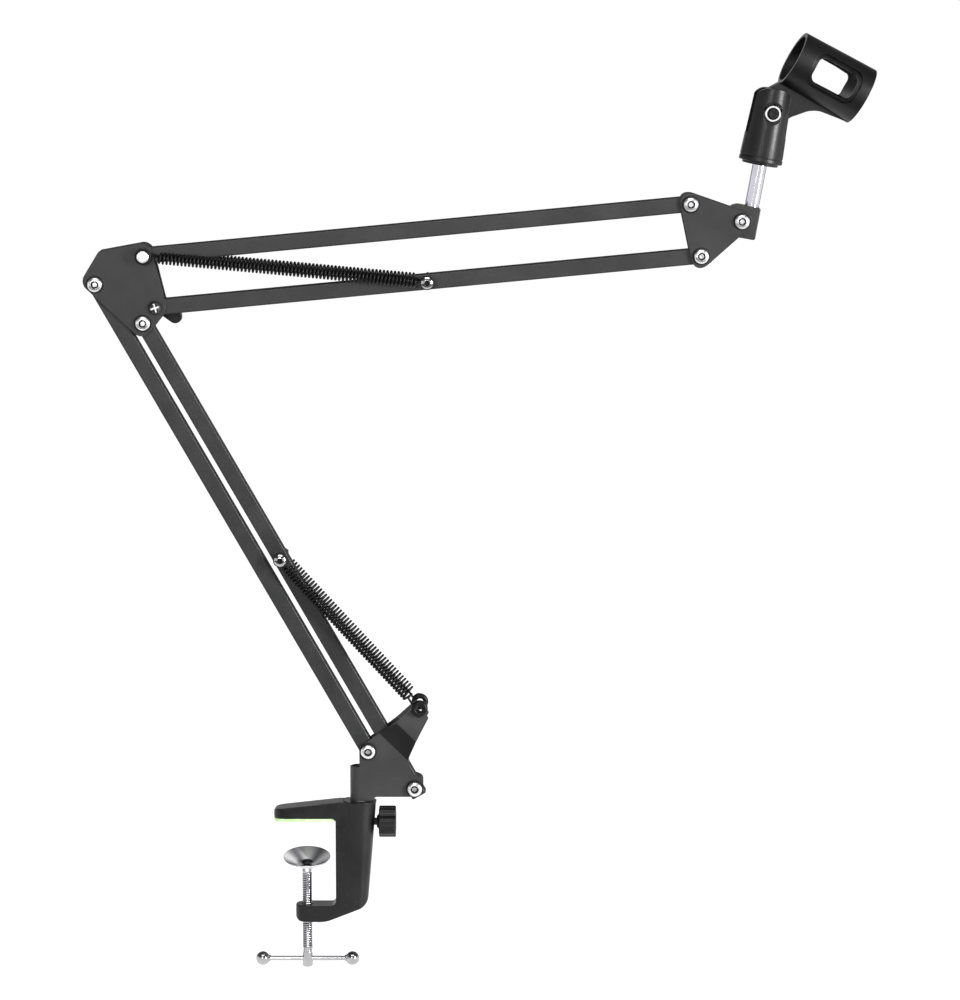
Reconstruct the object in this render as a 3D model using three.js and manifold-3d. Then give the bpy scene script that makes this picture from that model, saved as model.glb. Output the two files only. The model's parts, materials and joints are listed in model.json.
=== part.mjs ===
// Desk-clamp suspension boom arm for a microphone, in millimetres, +Z up.
// Origin: centre of the pad face under the upper jaw, on the clamp screw's axis.
// The arms lie in the XZ plane; every arm pivot turns about +Y, and -Y is the front.
import * as THREE from "three";
import { mergeVertices } from "three/addons/utils/BufferGeometryUtils.js";
import Module from "manifold-3d";

const wasm = await Module();
wasm.setup();

// Driving dimensions
const GAP = 0.3; // clearance between touching pieces
const ARM = 345; // pivot to pivot, all four tubes
const LOWER_ANGLE = 119.6; // direction of the lower tubes, degrees from +X towards +Z
const UPPER_ANGLE = 5.4; // direction of the upper tubes
const TUBE = 10; // side of the square tube
const TUBE_WALL = 1.2;
const TUBE_TAIL = 6.2; // tube past its pivot
const SHEET = 1.5; // plate thickness
const INNER = TUBE / 2 + 0.4; // inner face of every plate, from the middle plane
const OUTER = INNER + SHEET;
const BOLT_R = 2.5;
const HOLE_R = BOLT_R + GAP;
const BOLT_HEAD_R = 4.75;
const NUT_R = 4.6;
const SPRING_Y = 11; // middle of each spring, from the middle plane
const SPRING_R = 3.8;
const SPRING_END = 7; // from the pin's centre to the first turn
const SWIVEL_X = 34.3; // axis of the swivel pin
const PIN_R = 5;
const SLEEVE_BOTTOM = 13.6;
const SLEEVE_TOP = 35.7;
const TAB_CORNER = [47.1, 58.3]; // upper end of the crease that the spring tabs leave from
const TAB_ANGLE = 45.9; // the tabs' own direction, degrees from +X towards +Z
const BASE_LEFT = [40, 46.4]; // base pivots as [x, z]
const LOWER_OFFSET = [29.8, -24.5]; // from the left to the right lower tube
const SPRING_FAR = 172; // spring bolt on its tube, from the tube's near pivot
const ELBOW_TOP = [30.8, 17.8]; // elbow pivots, from the left lower tube's pivot
const UPPER_OFFSET = [6.9, -32.5]; // from the top to the bottom upper tube
const HEAD_TILT = [32.2, -10.7]; // tilt bolt, from the head's upper pivot
const POST_LEAN = 10.2; // degrees from upright, towards +X
const POST_OFFSET = 4.7; // post axis from the tilt bolt
const POST_R = 4.6;
const CLIP_PIVOT = 69.6; // clip bolt above the tilt bolt, along the post
const CLIP_ANGLE = -28.6; // barrel axis, degrees from +X towards +Z
const CLIP_SWIVEL = 6; // of the clip about the post; the barrel's left end turns to the front
const YOKE_BOTTOM = 38.4; // along the post, from the tilt bolt
const YOKE_TOP = 84.8;
const SLOT_HALF = 4.6; // half the yoke's slot
const SCREW_R = 3.25;
const CUP_RIM_Z = -23.6;
const CUP_TILT = 12; // degrees about X at rest
const BAR_Z = -91.9; // tommy bar
const SCREW_END = -97;
const LOWER_JAW = [-65.8, -55.3]; // bottom and top of the lower jaw
const BOSS_TOP = 13.2;
const BOSS_R = 10.8;
const KNOB_Z = -1;

const finish = (color, roughness, metalness) =>
  new THREE.MeshStandardMaterial({ color, roughness, metalness });
const MATERIALS = {
  coat: finish(0x2e2e30, 0.5, 0.3),
  casting: finish(0x262627, 0.45, 0.2),
  plated: finish(0xc9cacd, 0.25, 1),
  chrome: finish(0xe2e2ea, 0.1, 1),
  plastic: finish(0x1d1d1f, 0.4, 0),
  spring: finish(0x1a1a1b, 0.35, 0.8),
  brass: finish(0xb6924d, 0.3, 1),
  pad: finish(0xb6e29c, 0.9, 0),
};

// Geometry helpers
const rad = THREE.MathUtils.degToRad;

// The solid of a closed geometry, with its faces turned outwards.
function solid(geometry) {
  const bare = geometry.index ? geometry.toNonIndexed() : geometry.clone();
  bare.deleteAttribute("normal");
  bare.deleteAttribute("uv");
  const merged = mergeVertices(bare, 1e-4);
  const triVerts = new Uint32Array(merged.index.array);
  const vertProperties = merged.attributes.position.array;
  const made = new wasm.Manifold(new wasm.Mesh({ numProp: 3, vertProperties, triVerts }));
  if (made.volume() > 0) return made;
  triVerts.reverse();
  return new wasm.Manifold(new wasm.Mesh({ numProp: 3, vertProperties, triVerts }));
}

function geometryOf(made) {
  const { vertProperties, triVerts } = made.getMesh();
  const geometry = new THREE.BufferGeometry();
  geometry.setAttribute("position", new THREE.BufferAttribute(vertProperties, 3));
  geometry.setIndex(new THREE.BufferAttribute(triVerts, 1));
  return geometry;
}

const fuse = (...shapes) => geometryOf(shapes.map(solid).reduce((a, b) => a.add(b)));
const common = (...shapes) => geometryOf(shapes.map(solid).reduce((a, b) => a.intersect(b)));
const carve = (body, ...tools) => geometryOf(tools.map(solid).reduce((a, b) => a.subtract(b), solid(body)));

// A closed outline through corners [x, y, radius], anticlockwise, each rounded by its radius.
function outline(corners) {
  const shape = new THREE.Shape();
  corners.forEach(([x, y, r = 0], i) => {
    const [px, py] = corners[(i + corners.length - 1) % corners.length];
    const [nx, ny] = corners[(i + 1) % corners.length];
    const here = new THREE.Vector2(x, y);
    const back = new THREE.Vector2(px, py).sub(here).normalize();
    const ahead = new THREE.Vector2(nx, ny).sub(here).normalize();
    const half = Math.acos(THREE.MathUtils.clamp(back.dot(ahead), -1, 1)) / 2;
    const reach = r / Math.tan(half);
    const start = here.clone().addScaledVector(back, reach);
    if (i === 0) shape.moveTo(start.x, start.y);
    else shape.lineTo(start.x, start.y);
    if (!r) return;
    const centre = back.clone().add(ahead).normalize().multiplyScalar(r / Math.sin(half)).add(here);
    const end = here.clone().addScaledVector(ahead, reach);
    const from = start.sub(centre).angle();
    const to = end.sub(centre).angle();
    const clockwise = back.cross(ahead) > 0;
    shape.absarc(centre.x, centre.y, r, from, to, clockwise);
  });
  return shape;
}

// The outline of a belt drawn tight around circles [x, y, radius], listed anticlockwise.
function belt(circles) {
  const shape = new THREE.Shape();
  const normals = circles.map(([x, y, r], i) => {
    const [nx, ny, nr] = circles[(i + 1) % circles.length];
    const run = new THREE.Vector2(nx - x, ny - y);
    return run.angle() - Math.acos((r - nr) / run.length());
  });
  circles.forEach(([x, y, r], i) => {
    const from = normals[(i + circles.length - 1) % circles.length];
    shape.absarc(x, y, r, from, normals[i], false);
  });
  return shape;
}

function drilled(shape, holes) {
  for (const [x, y, r] of holes) {
    const hole = new THREE.Path();
    hole.absarc(x, y, r, 0, 2 * Math.PI, true);
    shape.holes.push(hole);
  }
  return shape;
}

// A prism along Z between two heights, from an outline seen from above.
function prism(shape, low, high, curveSegments = 4) {
  const depth = high - low;
  return new THREE.ExtrudeGeometry(shape, { depth, bevelEnabled: false, curveSegments })
    .translate(0, 0, low);
}

// A slab along Y between two depths, from an outline seen from the front.
function slab(shape, front, back, curveSegments = 4) {
  return prism(shape, 0, back - front, curveSegments).rotateX(Math.PI / 2).translate(0, back, 0);
}

// A round piece about Y through [x, z], from [radius, y] steps that begin and end on the axis.
function turned(profile, [x, z] = [0, 0], sides = 12) {
  const points = profile.map(([r, y]) => new THREE.Vector2(r, y));
  return new THREE.LatheGeometry(points, sides).translate(x, 0, z);
}

// The same about Z, from [radius, z] steps.
const upright = (profile, x = 0, sides = 16) =>
  turned(profile, [0, 0], sides).rotateX(Math.PI / 2).translate(x, 0, 0);

const rodY = (r, front, back, place, sides = 12) =>
  turned([[0, front], [r, front], [r, back], [0, back]], place, sides);
const rodZ = (r, low, high, x = 0, sides = 16) =>
  upright([[0, low], [r, low], [r, high], [0, high]], x, sides);
const rodX = (r, left, right, z = 0, sides = 12) =>
  rodZ(r, left, right, 0, sides).rotateY(Math.PI / 2).translate(0, 0, z);
const box = (x0, x1, y0, y1, z0, z1) =>
  new THREE.BoxGeometry(x1 - x0, y1 - y0, z1 - z0)
    .translate((x0 + x1) / 2, (y0 + y1) / 2, (z0 + z1) / 2);

function hexY(r, front, back, [x, z] = [0, 0]) {
  return new THREE.CylinderGeometry(r, r, back - front, 6).translate(x, (front + back) / 2, z);
}

const plus = ([x, z], [dx, dz]) => [x + dx, z + dz];
const along = ([x, z], length, degrees) =>
  [x + length * Math.cos(rad(degrees)), z + length * Math.sin(rad(degrees))];

function piece(name, geometry, material) {
  const mesh = new THREE.Mesh(geometry, MATERIALS[material]);
  mesh.name = name;
  return mesh;
}

// A group at [x, z] whose +X axis points along a direction in the XZ plane.
function at([x, z], degrees, ...children) {
  const group = new THREE.Group();
  group.position.set(x, 0, z);
  group.rotation.y = -rad(degrees);
  group.add(...children);
  return group;
}

// Fasteners, about Y through the group's origin
function buttonBolt(name, place) {
  const under = -OUTER - GAP;
  const top = under - 2.7;
  const end = OUTER + 5.4;
  const profile = [[0, top], [2.4, top], [3.7, top + 0.6], [BOLT_HEAD_R, top + 1.9]];
  profile.push([BOLT_HEAD_R, under], [BOLT_R, under], [BOLT_R, end], [0, end]);
  const socket = hexY(1.75, top - 1, top + 1.6, place);
  return piece(name, carve(turned(profile, place), socket), "plated");
}

function hexNut(name, place, from = OUTER + GAP, material = "plated") {
  const nut = hexY(NUT_R, from, from + 4, place);
  return piece(name, carve(nut, rodY(HOLE_R, from - 1, from + 5, place)), material);
}

const pivot = (name, place) => [
  buttonBolt(`${name}_bolt`, place),
  hexNut(`${name}_nut`, place),
];

// The bolt that carries the far ends of a pair of springs, with its spacers and nut
function springBolt(name, x) {
  const place = [x, 0];
  const [collar, head] = [9.6, 12.4];
  const profile = [[0, -head - 2.4], [2.6, -head - 2.4], [4, -head - 1.2], [4, -head]];
  profile.push([BOLT_R, -head], [BOLT_R, head + 4.6], [0, head + 4.6]);
  const spacer = (front, back) =>
    carve(rodY(3.9, front, back, place), rodY(HOLE_R, front - 1, back + 1, place));
  return [
    piece(`${name}_spring_bolt`, turned(profile, place), "coat"),
    piece(`${name}_spring_spacer_front`, spacer(-collar, -TUBE / 2 - GAP), "coat"),
    piece(`${name}_spring_spacer_rear`, spacer(TUBE / 2 + GAP, collar), "coat"),
    hexNut(`${name}_spring_nut`, place, head, "coat"),
  ];
}

// A spring's outer shape between two pins, in front of or behind the tubes
function spring(name, from, to, side) {
  const [dx, dz] = [to[0] - from[0], to[1] - from[1]];
  const length = Math.hypot(dx, dz) - 2 * SPRING_END;
  const body = new THREE.CylinderGeometry(SPRING_R, SPRING_R, length, 10);
  body.rotateZ(Math.PI / 2).rotateY(-Math.atan2(dz, dx));
  body.translate(from[0] + dx / 2, side * SPRING_Y, from[1] + dz / 2);
  return piece(name, body, "spring");
}

// A square tube along +X between two pivots, with round or square ends
function tube(name, roundNear, extraHoles = []) {
  const half = TUBE / 2;
  const bore = half - TUBE_WALL;
  const near = roundNear ? -half : -TUBE_TAIL;
  const far = ARM + TUBE_TAIL;
  const turn = roundNear ? half - 0.01 : 0;
  const side = outline([[near, -half, turn], [far, -half], [far, half], [near, half, turn]]);
  drilled(side, [[0, 0, HOLE_R], [ARM, 0, HOLE_R], ...extraHoles]);
  const inside = box(near - 1, far + 1, -bore, bore, -bore, bore);
  return piece(name, carve(slab(side, -half, half), inside), "coat");
}

// Clamp
function clampFrame() {
  const [jawBottom, jawTop] = LOWER_JAW;
  const side = outline([
    [-21, 2.3, 1], [18.8, 2.3, 2], [18.8, jawTop, 3], [-7.2, jawTop, 0.8],
    [-7.2, jawBottom, 3], [12, jawBottom - 0.4, 50], [39.2, -55.5, 4],
    [45.1, BOSS_TOP, 0.6], [23.5, BOSS_TOP, 0.4], [-21, 8.3, 1],
  ]);
  const plan = outline([
    [-21, -7.5, 7.4], [SWIVEL_X, -7.5], [SWIVEL_X, 7.5], [-21, 7.5, 7.4],
  ]);
  const [low, high] = [jawBottom - 2, BOSS_TOP];
  const taper = 0.0475; // of the column, per mm of height
  const drop = (high - low) * taper;
  const column = new THREE.CylinderGeometry(BOSS_R, BOSS_R - drop, high - low, 24)
    .rotateX(Math.PI / 2)
    .applyMatrix4(new THREE.Matrix4().makeShear(0, 0, 0, 0, taper * 0.75, 0))
    .translate(SWIVEL_X - drop * 0.375, 0, (high + low) / 2);
  const mass = fuse(prism(plan, low, high), column);
  const endRound = rodZ(7.2, jawBottom - 3, jawTop + 2, 0, 20);
  const beyond = carve(box(-12, 0, -8, 8, jawBottom - 3, jawTop + 2), endRound);
  return piece("clamp_frame", carve(
    common(slab(side, -12, 12), mass),
    beyond,
    rodZ(PIN_R + GAP, -16, BOSS_TOP + 1, SWIVEL_X),
    rodZ(SCREW_R + GAP, jawBottom - 1, jawTop + 1),
    rodX(HOLE_R, SWIVEL_X, 48, KNOB_Z),
  ), "casting");
}

function jawPad() {
  const plan = outline([[-20, -6.8, 6.7], [17, -6.8, 1], [17, 6.8, 1], [-20, 6.8, 6.7]]);
  return piece("jaw_pad", prism(plan, 0, 2), "pad");
}

function lockScrew() {
  return piece("lock_screw", rodX(BOLT_R, SWIVEL_X + PIN_R + GAP, 54, KNOB_Z), "coat");
}

function lockKnob() {
  const shape = new THREE.Shape();
  const [lobes, steps] = [8, 32];
  for (let i = 0; i < steps; i++) {
    const angle = (2 * Math.PI * i) / steps;
    const r = 9.6 + 0.7 * Math.cos(lobes * angle);
    shape[i ? "lineTo" : "moveTo"](r * Math.cos(angle), r * Math.sin(angle));
  }
  const [left, right] = [46.6, 57.6];
  const grip = prism(shape, left, right).rotateY(Math.PI / 2);
  const neck = rodX(4, left - 1.4, left + 1, 0);
  const bore = rodX(HOLE_R, left - 3, 54 + GAP, 0);
  return piece("lock_knob", carve(fuse(grip, neck), bore).translate(0, 0, KNOB_Z), "plastic");
}

function screwTip() {
  const [low, under] = [-33.2, -28.1];
  const top = under + 1.8;
  const profile = [[0, low], [2, low], [2, under], [3.9, under], [3.4, under + 1.2]];
  profile.push([1.6, top], [0, top]);
  return piece("screw_tip", upright(profile), "plated");
}

function pressureCup() {
  const profile = [[3.2, -6.9], [5, -6.9], [15.2, -0.6], [15.2, 0]];
  profile.push([14.6, 0], [4.8, -5.7], [3.2, -5.7], [3.2, -6.9]);
  const floor = 6.3; // below the rim, where the cup rocks on the screw's tip
  const cup = upright(profile, 0, 20).translate(0, 0, floor).rotateX(rad(CUP_TILT));
  return piece("pressure_cup", cup.translate(0, 0, CUP_RIM_Z - floor), "chrome");
}

function clampScrew() {
  const top = -33.5;
  const profile = [[0, SCREW_END], [SCREW_R - 0.3, SCREW_END], [SCREW_R, SCREW_END + 0.4]];
  profile.push([SCREW_R, top - 1.2], [2.4, top], [0, top]);
  const eye = rodX(1.5 + GAP, -6, 6, BAR_Z);
  return piece("clamp_screw", carve(upright(profile), eye), "chrome");
}

function tommyBar() {
  const [reach, ballR, seat] = [29, 4.5, 26.4];
  const ball = (x) => carve(
    new THREE.SphereGeometry(ballR, 12, 8).translate(x, 0, 0),
    rodX(1.5 + GAP, ...(x < 0 ? [-seat - GAP, -20] : [20, seat + GAP])),
  ).translate(0, 0, BAR_Z);
  return [
    piece("tommy_bar", rodX(1.5, -seat, seat, BAR_Z, 12), "chrome"),
    piece("tommy_bar_ball_left", ball(-reach), "chrome"),
    piece("tommy_bar_ball_right", ball(reach), "chrome"),
  ];
}

// Base
function baseTab(side) {
  const [fold, tip, flare] = [13, 29.5, 4.2]; // outward from the crease, and sideways
  const section = new THREE.Shape();
  section.setFromPoints([
    [-1.5, INNER], [0, INNER], [fold, INNER + flare], [tip + 1, INNER + flare],
    [tip + 1, OUTER + flare], [fold - 0.2, OUTER + flare], [-0.2, OUTER], [-1.5, OUTER],
  ].map(([n, y]) => new THREE.Vector2(n, side * y)));
  const face = outline([
    [-1.4, 0], [-1.4, -25.5], [0, -25.5], [fold, -20.4, 3], [tip + 0.6, -15.3, 1],
    [tip - 0.7, -3.5, 1], [fold, -2.6, 3], [0, 0],
  ]);
  drilled(face, [[26.7, -9.6, 1.6]]);
  const leaf = common(prism(section, -26, 1), slab(face, -20, 20));
  return leaf.rotateY(-rad(TAB_ANGLE)).translate(TAB_CORNER[0], 0, TAB_CORNER[1]);
}

function baseBracket() {
  const [rightX, rightZ] = plus(BASE_LEFT, LOWER_OFFSET);
  const plan = new THREE.Shape();
  plan.moveTo(100, -OUTER);
  plan.lineTo(100, -INNER);
  plan.lineTo(SWIVEL_X, -INNER);
  plan.absarc(SWIVEL_X, 0, INNER, -Math.PI / 2, Math.PI / 2, true);
  plan.lineTo(100, INNER);
  plan.lineTo(100, OUTER);
  plan.lineTo(SWIVEL_X, OUTER);
  plan.absarc(SWIVEL_X, 0, OUTER, Math.PI / 2, -Math.PI / 2, false);
  const front = outline([
    [20, SLEEVE_BOTTOM], [41.5, SLEEVE_BOTTOM, 2], [44.5, 16.4, 3], [75.2, 16.4, 5.2],
    [75.2, 28.6, 3.5], [68.2, 31.4], [65.4, 40.6], TAB_CORNER, [33.4, 48.9, 1.5],
    [33.4, SLEEVE_TOP, 0.6], [20, SLEEVE_TOP],
  ]);
  const holes = [BASE_LEFT, [rightX, rightZ]].map((place) => rodY(HOLE_R, -20, 20, place));
  const folded = common(prism(plan, 0, 70, 6), slab(front, -12, 12));
  return piece("base_bracket", carve(fuse(folded, baseTab(-1), baseTab(1)), ...holes), "coat");
}

function swivelPin() {
  return piece("swivel_pin", rodZ(PIN_R, -14.5, SLEEVE_TOP - 0.5, SWIVEL_X), "plated");
}

// Elbow and head plates
const facing = (shape, side) =>
  side < 0 ? slab(shape, -OUTER, -INNER) : slab(shape, INNER, OUTER);

function elbowPlate(name, side) {
  const shape = outline([
    [-9.1, 0.7, 6.5], [29.6, -36, 7], [46.4, -16.6, 8], [35.9, 27.5, 7], [3.1, 21.1, 2.5],
  ]);
  const pivots = [[0, 0], LOWER_OFFSET, ELBOW_TOP, plus(ELBOW_TOP, UPPER_OFFSET)];
  drilled(shape, pivots.map((place) => [...place, HOLE_R]));
  return piece(name, facing(shape, side), "coat");
}

function headPlate(name, side) {
  const shape = belt([[0, 0, 6.8], [...UPPER_OFFSET, 6.8], [...HEAD_TILT, 6.3]]);
  drilled(shape, [[0, 0, HOLE_R], [...UPPER_OFFSET, HOLE_R], [...HEAD_TILT, HOLE_R]]);
  return piece(name, facing(shape, side), "coat");
}

function springPin() {
  const half = [[2.25, 12.6], [2.25, 9.8], [3.6, 9.8], [3.6, OUTER + GAP], [BOLT_R, OUTER + GAP]];
  const head = [[0, 14.4], [3.2, 14.4], [4, 13.6], [4, 12.6]];
  const back = [...head, ...half];
  const front = back.map(([r, y]) => [r, -y]);
  return piece("spring_pin", turned([...front, ...back.reverse()], ELBOW_TOP), "plated");
}

function tensionBolt(place) {
  const under = -OUTER - GAP;
  const profile = [[0, under - 3], [2, under - 2.8], [4, under - 1.2], [4.3, under]];
  profile.push([BOLT_R, under], [BOLT_R, 18.6], [0, 18.6]);
  return piece("tension_bolt", turned(profile, place), "coat");
}

function wingNut(place) {
  const [reach, width] = [17.5, 9];
  const wings = belt([[-reach + width / 2, 0, width / 2], [reach - width / 2, 0, width / 2]]);
  const [back, wing] = [20, 15.6];
  const hub = rodY(5.4, OUTER + GAP, back, [0, 0]);
  const made = carve(fuse(hub, slab(wings, wing, back)), rodY(HOLE_R, 0, back + 1, [0, 0]));
  return piece("wing_nut", made.rotateY(rad(36)).translate(place[0], 0, place[1]), "plastic");
}

// Head joint and microphone clip, in a frame whose +Z runs up the post from the tilt bolt
function tiltBlock() {
  const half = TUBE / 2 + 0.1;
  const shape = outline([[-11, -10.4, 8], [10.3, -10.4, 1], [10.3, 10.2, 1], [-11, 10.2, 8]]);
  const block = slab(shape, -half, half);
  const socket = rodZ(POST_R + GAP / 2, 3.8, 12, POST_OFFSET);
  return piece("tilt_block", carve(block, rodY(HOLE_R, -9, 9, [0, 0]), socket), "coat");
}

function post() {
  const [low, top] = [4.1, 52];
  return piece("post", rodZ(POST_R, low, top, POST_OFFSET), "chrome");
}

function yoke() {
  const body = upright([
    [0, YOKE_BOTTOM - 1.8], [11.4, YOKE_BOTTOM - 1.8], [11.4, YOKE_BOTTOM],
    [13.8, YOKE_BOTTOM], [11.8, YOKE_TOP + 2], [0, YOKE_TOP + 2],
  ], 0, 24);
  const crown = outline([[-16, 30], [16, 30], [12.4, YOKE_TOP, 10.5], [-12.4, YOKE_TOP, 10.5]]);
  const slot = box(-20, 20, -SLOT_HALF, SLOT_HALF, CLIP_PIVOT - 14, YOKE_TOP + 5);
  const pivotAt = [0, CLIP_PIVOT];
  const made = carve(
    common(body, slab(crown, -20, 20, 6)),
    slot,
    rodY(3 + GAP, -20, 20, pivotAt),
    hexY(6.2, -20, -8.2, pivotAt),
    rodY(5.8, 8.2, 20, pivotAt),
    rodZ(8.3, YOKE_BOTTOM - 5, YOKE_BOTTOM + 12.3),
    rodZ(POST_R + 0.6, YOKE_BOTTOM, CLIP_PIVOT - 13),
  );
  return piece("clip_yoke", made, "plastic");
}

function threadInsert() {
  const [low, high] = [YOKE_BOTTOM - 1.4, YOKE_BOTTOM + 12];
  const sleeve = carve(rodZ(8, low, high), rodZ(POST_R + GAP, low - 1, high + 1));
  return piece("thread_insert", sleeve, "brass");
}

function clipBolt() {
  const [end, under] = [-12.8, 8.5];
  const profile = [[0, end], [2.6, end], [3, end + 0.4], [3, under], [5.4, under]];
  profile.push([5.4, under + 1.9], [3.8, under + 3.1], [0, under + 3.1]);
  return piece("clip_bolt", turned(profile, [0, CLIP_PIVOT]), "plated");
}

function clipNut() {
  const nut = hexY(5.75, -12.4, -8.5, [0, CLIP_PIVOT]);
  return piece("clip_nut", carve(nut, rodY(3 + GAP, -14, -7, [0, CLIP_PIVOT])), "plated");
}

// The clip: a tapered barrel over a tongue; +X runs along the barrel, from its pivot
function clipBarrel() {
  const [left, right, axis, wall] = [-3.8, 46.4, 36.5, 2.6];
  const [leftR, rightR] = [17.9, 18.7];
  const cone = (r0, r1, x0, x1) => upright([[0, x0], [r0, x0], [r1, x1], [0, x1]], 0, 28)
    .rotateY(Math.PI / 2).translate(0, 0, axis);
  const tongueEdge = new THREE.Shape();
  tongueEdge.moveTo(-10, 0);
  tongueEdge.absarc(0, 0, 10, Math.PI, -0.35, false);
  tongueEdge.quadraticCurveTo(23, 16.6, 45, 18.4);
  tongueEdge.lineTo(45, 21);
  tongueEdge.lineTo(-3, 21);
  tongueEdge.lineTo(-8.4, 13);
  const tongue = slab(tongueEdge, -4.2, 4.2, 6);
  const middle = 24;
  const windowOf = (length, height, r) => slab(outline([
    [middle - length / 2, axis - height / 2, r], [middle + length / 2, axis - height / 2, r],
    [middle + length / 2, axis + height / 2, r], [middle - length / 2, axis + height / 2, r],
  ]), -30, 30);
  const border = carve(windowOf(33, 22.4, 6), cone(leftR - 1.2, rightR - 1.2, left - 1, right + 1));
  return piece("clip_barrel", carve(
    fuse(cone(leftR, rightR, left, right), tongue),
    cone(leftR - wall, rightR - wall, left - 1, right + 1),
    border,
    windowOf(28, 16.4, 4.5),
    rodY(3 + GAP, -9, 9, [0, 0]),
  ), "plastic");
}

// Assembly at rest
const baseRight = plus(BASE_LEFT, LOWER_OFFSET);
const elbow = along(BASE_LEFT, ARM, LOWER_ANGLE);
const elbowTop = plus(elbow, ELBOW_TOP);
const elbowBottom = plus(elbowTop, UPPER_OFFSET);
const head = along(elbowTop, ARM, UPPER_ANGLE);
const tilt = plus(head, HEAD_TILT);
const hook = [73, 75.4]; // springs' end at the base tabs
const bottomAtElbow = plus(ELBOW_TOP, UPPER_OFFSET);

const clampGroup = new THREE.Group();
clampGroup.add(clampFrame(), jawPad(), lockScrew(), lockKnob());
clampGroup.add(screwTip(), pressureCup(), clampScrew(), ...tommyBar());

const baseGroup = new THREE.Group();
baseGroup.add(baseBracket(), swivelPin());
baseGroup.add(...pivot("base_left", BASE_LEFT), ...pivot("base_right", baseRight));

const lowerGroup = new THREE.Group();
lowerGroup.add(at(BASE_LEFT, LOWER_ANGLE, tube("lower_tube_left", false)));
lowerGroup.add(at(baseRight, LOWER_ANGLE, ...springBolt("lower", SPRING_FAR)));
// the right lower tube and the bottom upper tube are round where they meet inside the elbow
const rightTube = tube("lower_tube_right", true, [[ARM - SPRING_FAR, 0, HOLE_R]]);
lowerGroup.add(at(plus(elbow, LOWER_OFFSET), LOWER_ANGLE + 180, rightTube));

const elbowGroup = at(elbow, 0,
  elbowPlate("elbow_plate_front", -1), elbowPlate("elbow_plate_rear", 1),
  ...pivot("elbow_left", [0, 0]), ...pivot("elbow_right", LOWER_OFFSET),
  springPin(), tensionBolt(bottomAtElbow), wingNut(bottomAtElbow));

const upperGroup = new THREE.Group();
upperGroup.add(at(elbowTop, UPPER_ANGLE, tube("upper_tube_top", false)));
const bottomTube = tube("upper_tube_bottom", true, [[SPRING_FAR, 0, HOLE_R]]);
upperGroup.add(at(elbowBottom, UPPER_ANGLE, bottomTube, ...springBolt("upper", SPRING_FAR)));

const springs = new THREE.Group();
for (const [place, side] of [["front", -1], ["rear", 1]]) {
  const lowerFar = along(baseRight, SPRING_FAR, LOWER_ANGLE);
  const upperFar = along(elbowBottom, SPRING_FAR, UPPER_ANGLE);
  springs.add(spring(`lower_spring_${place}`, hook, lowerFar, side));
  springs.add(spring(`upper_spring_${place}`, elbowTop, upperFar, side));
}

const headGroup = at(head, 0,
  headPlate("head_plate_front", -1), headPlate("head_plate_rear", 1),
  ...pivot("head_upper", [0, 0]), ...pivot("head_lower", UPPER_OFFSET),
  ...pivot("head_tilt", HEAD_TILT));

const clipGroup = new THREE.Group(); // +Z up the post, from its foot
clipGroup.position.x = POST_OFFSET;
clipGroup.rotation.z = rad(CLIP_SWIVEL);
clipGroup.add(yoke(), threadInsert(), clipBolt(), clipNut());
const barrelGroup = at([0, CLIP_PIVOT], CLIP_ANGLE + POST_LEAN, clipBarrel());
clipGroup.add(barrelGroup);
const tiltGroup = at(tilt, -POST_LEAN, tiltBlock(), post(), clipGroup);

const boomArm = new THREE.Group();
boomArm.name = "microphone_boom_arm";
boomArm.add(clampGroup, baseGroup, lowerGroup, elbowGroup, upperGroup, springs);
boomArm.add(headGroup, tiltGroup);

export default boomArm;
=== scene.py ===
"""Desk-clamp suspension boom arm for a microphone: the finished look of each piece."""

import json
import math

import bmesh
import bpy
from mathutils import Matrix, Vector


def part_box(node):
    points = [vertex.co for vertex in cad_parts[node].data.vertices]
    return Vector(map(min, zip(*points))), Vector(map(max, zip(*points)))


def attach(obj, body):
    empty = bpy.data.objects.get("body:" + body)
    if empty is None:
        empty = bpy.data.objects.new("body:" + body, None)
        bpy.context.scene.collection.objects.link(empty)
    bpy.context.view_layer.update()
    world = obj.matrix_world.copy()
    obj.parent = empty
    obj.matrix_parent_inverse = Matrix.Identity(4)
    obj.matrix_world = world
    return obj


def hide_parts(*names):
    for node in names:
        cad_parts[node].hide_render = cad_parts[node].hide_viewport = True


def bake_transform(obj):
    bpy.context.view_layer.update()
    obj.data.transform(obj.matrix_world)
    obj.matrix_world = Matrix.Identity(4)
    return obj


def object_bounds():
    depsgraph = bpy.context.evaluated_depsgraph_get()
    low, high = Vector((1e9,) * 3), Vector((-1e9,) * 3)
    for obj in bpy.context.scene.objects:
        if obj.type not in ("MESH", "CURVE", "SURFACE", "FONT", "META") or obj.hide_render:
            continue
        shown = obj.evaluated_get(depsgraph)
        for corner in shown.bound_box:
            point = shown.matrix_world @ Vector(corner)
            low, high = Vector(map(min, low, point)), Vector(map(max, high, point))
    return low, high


bl_info = {
    "name": "Microphone boom arm",
    "version": (1, 0, 0),
    "blender": (4, 5, 0),
    "location": "View3D > Sidebar > Boom arm",
    "description": "Builds the finished look of a desk-clamp microphone boom arm",
    "category": "Add Mesh",
}

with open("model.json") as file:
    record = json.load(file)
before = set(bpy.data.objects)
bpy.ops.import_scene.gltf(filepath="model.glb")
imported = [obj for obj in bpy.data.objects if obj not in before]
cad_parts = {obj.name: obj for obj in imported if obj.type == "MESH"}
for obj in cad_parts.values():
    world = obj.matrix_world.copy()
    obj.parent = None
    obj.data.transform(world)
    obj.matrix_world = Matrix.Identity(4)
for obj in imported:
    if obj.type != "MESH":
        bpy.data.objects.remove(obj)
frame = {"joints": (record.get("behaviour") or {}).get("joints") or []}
cad_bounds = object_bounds()

# Shapes are drawn in millimetres, and piece() brings them to metres.
MM = 0.001
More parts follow.
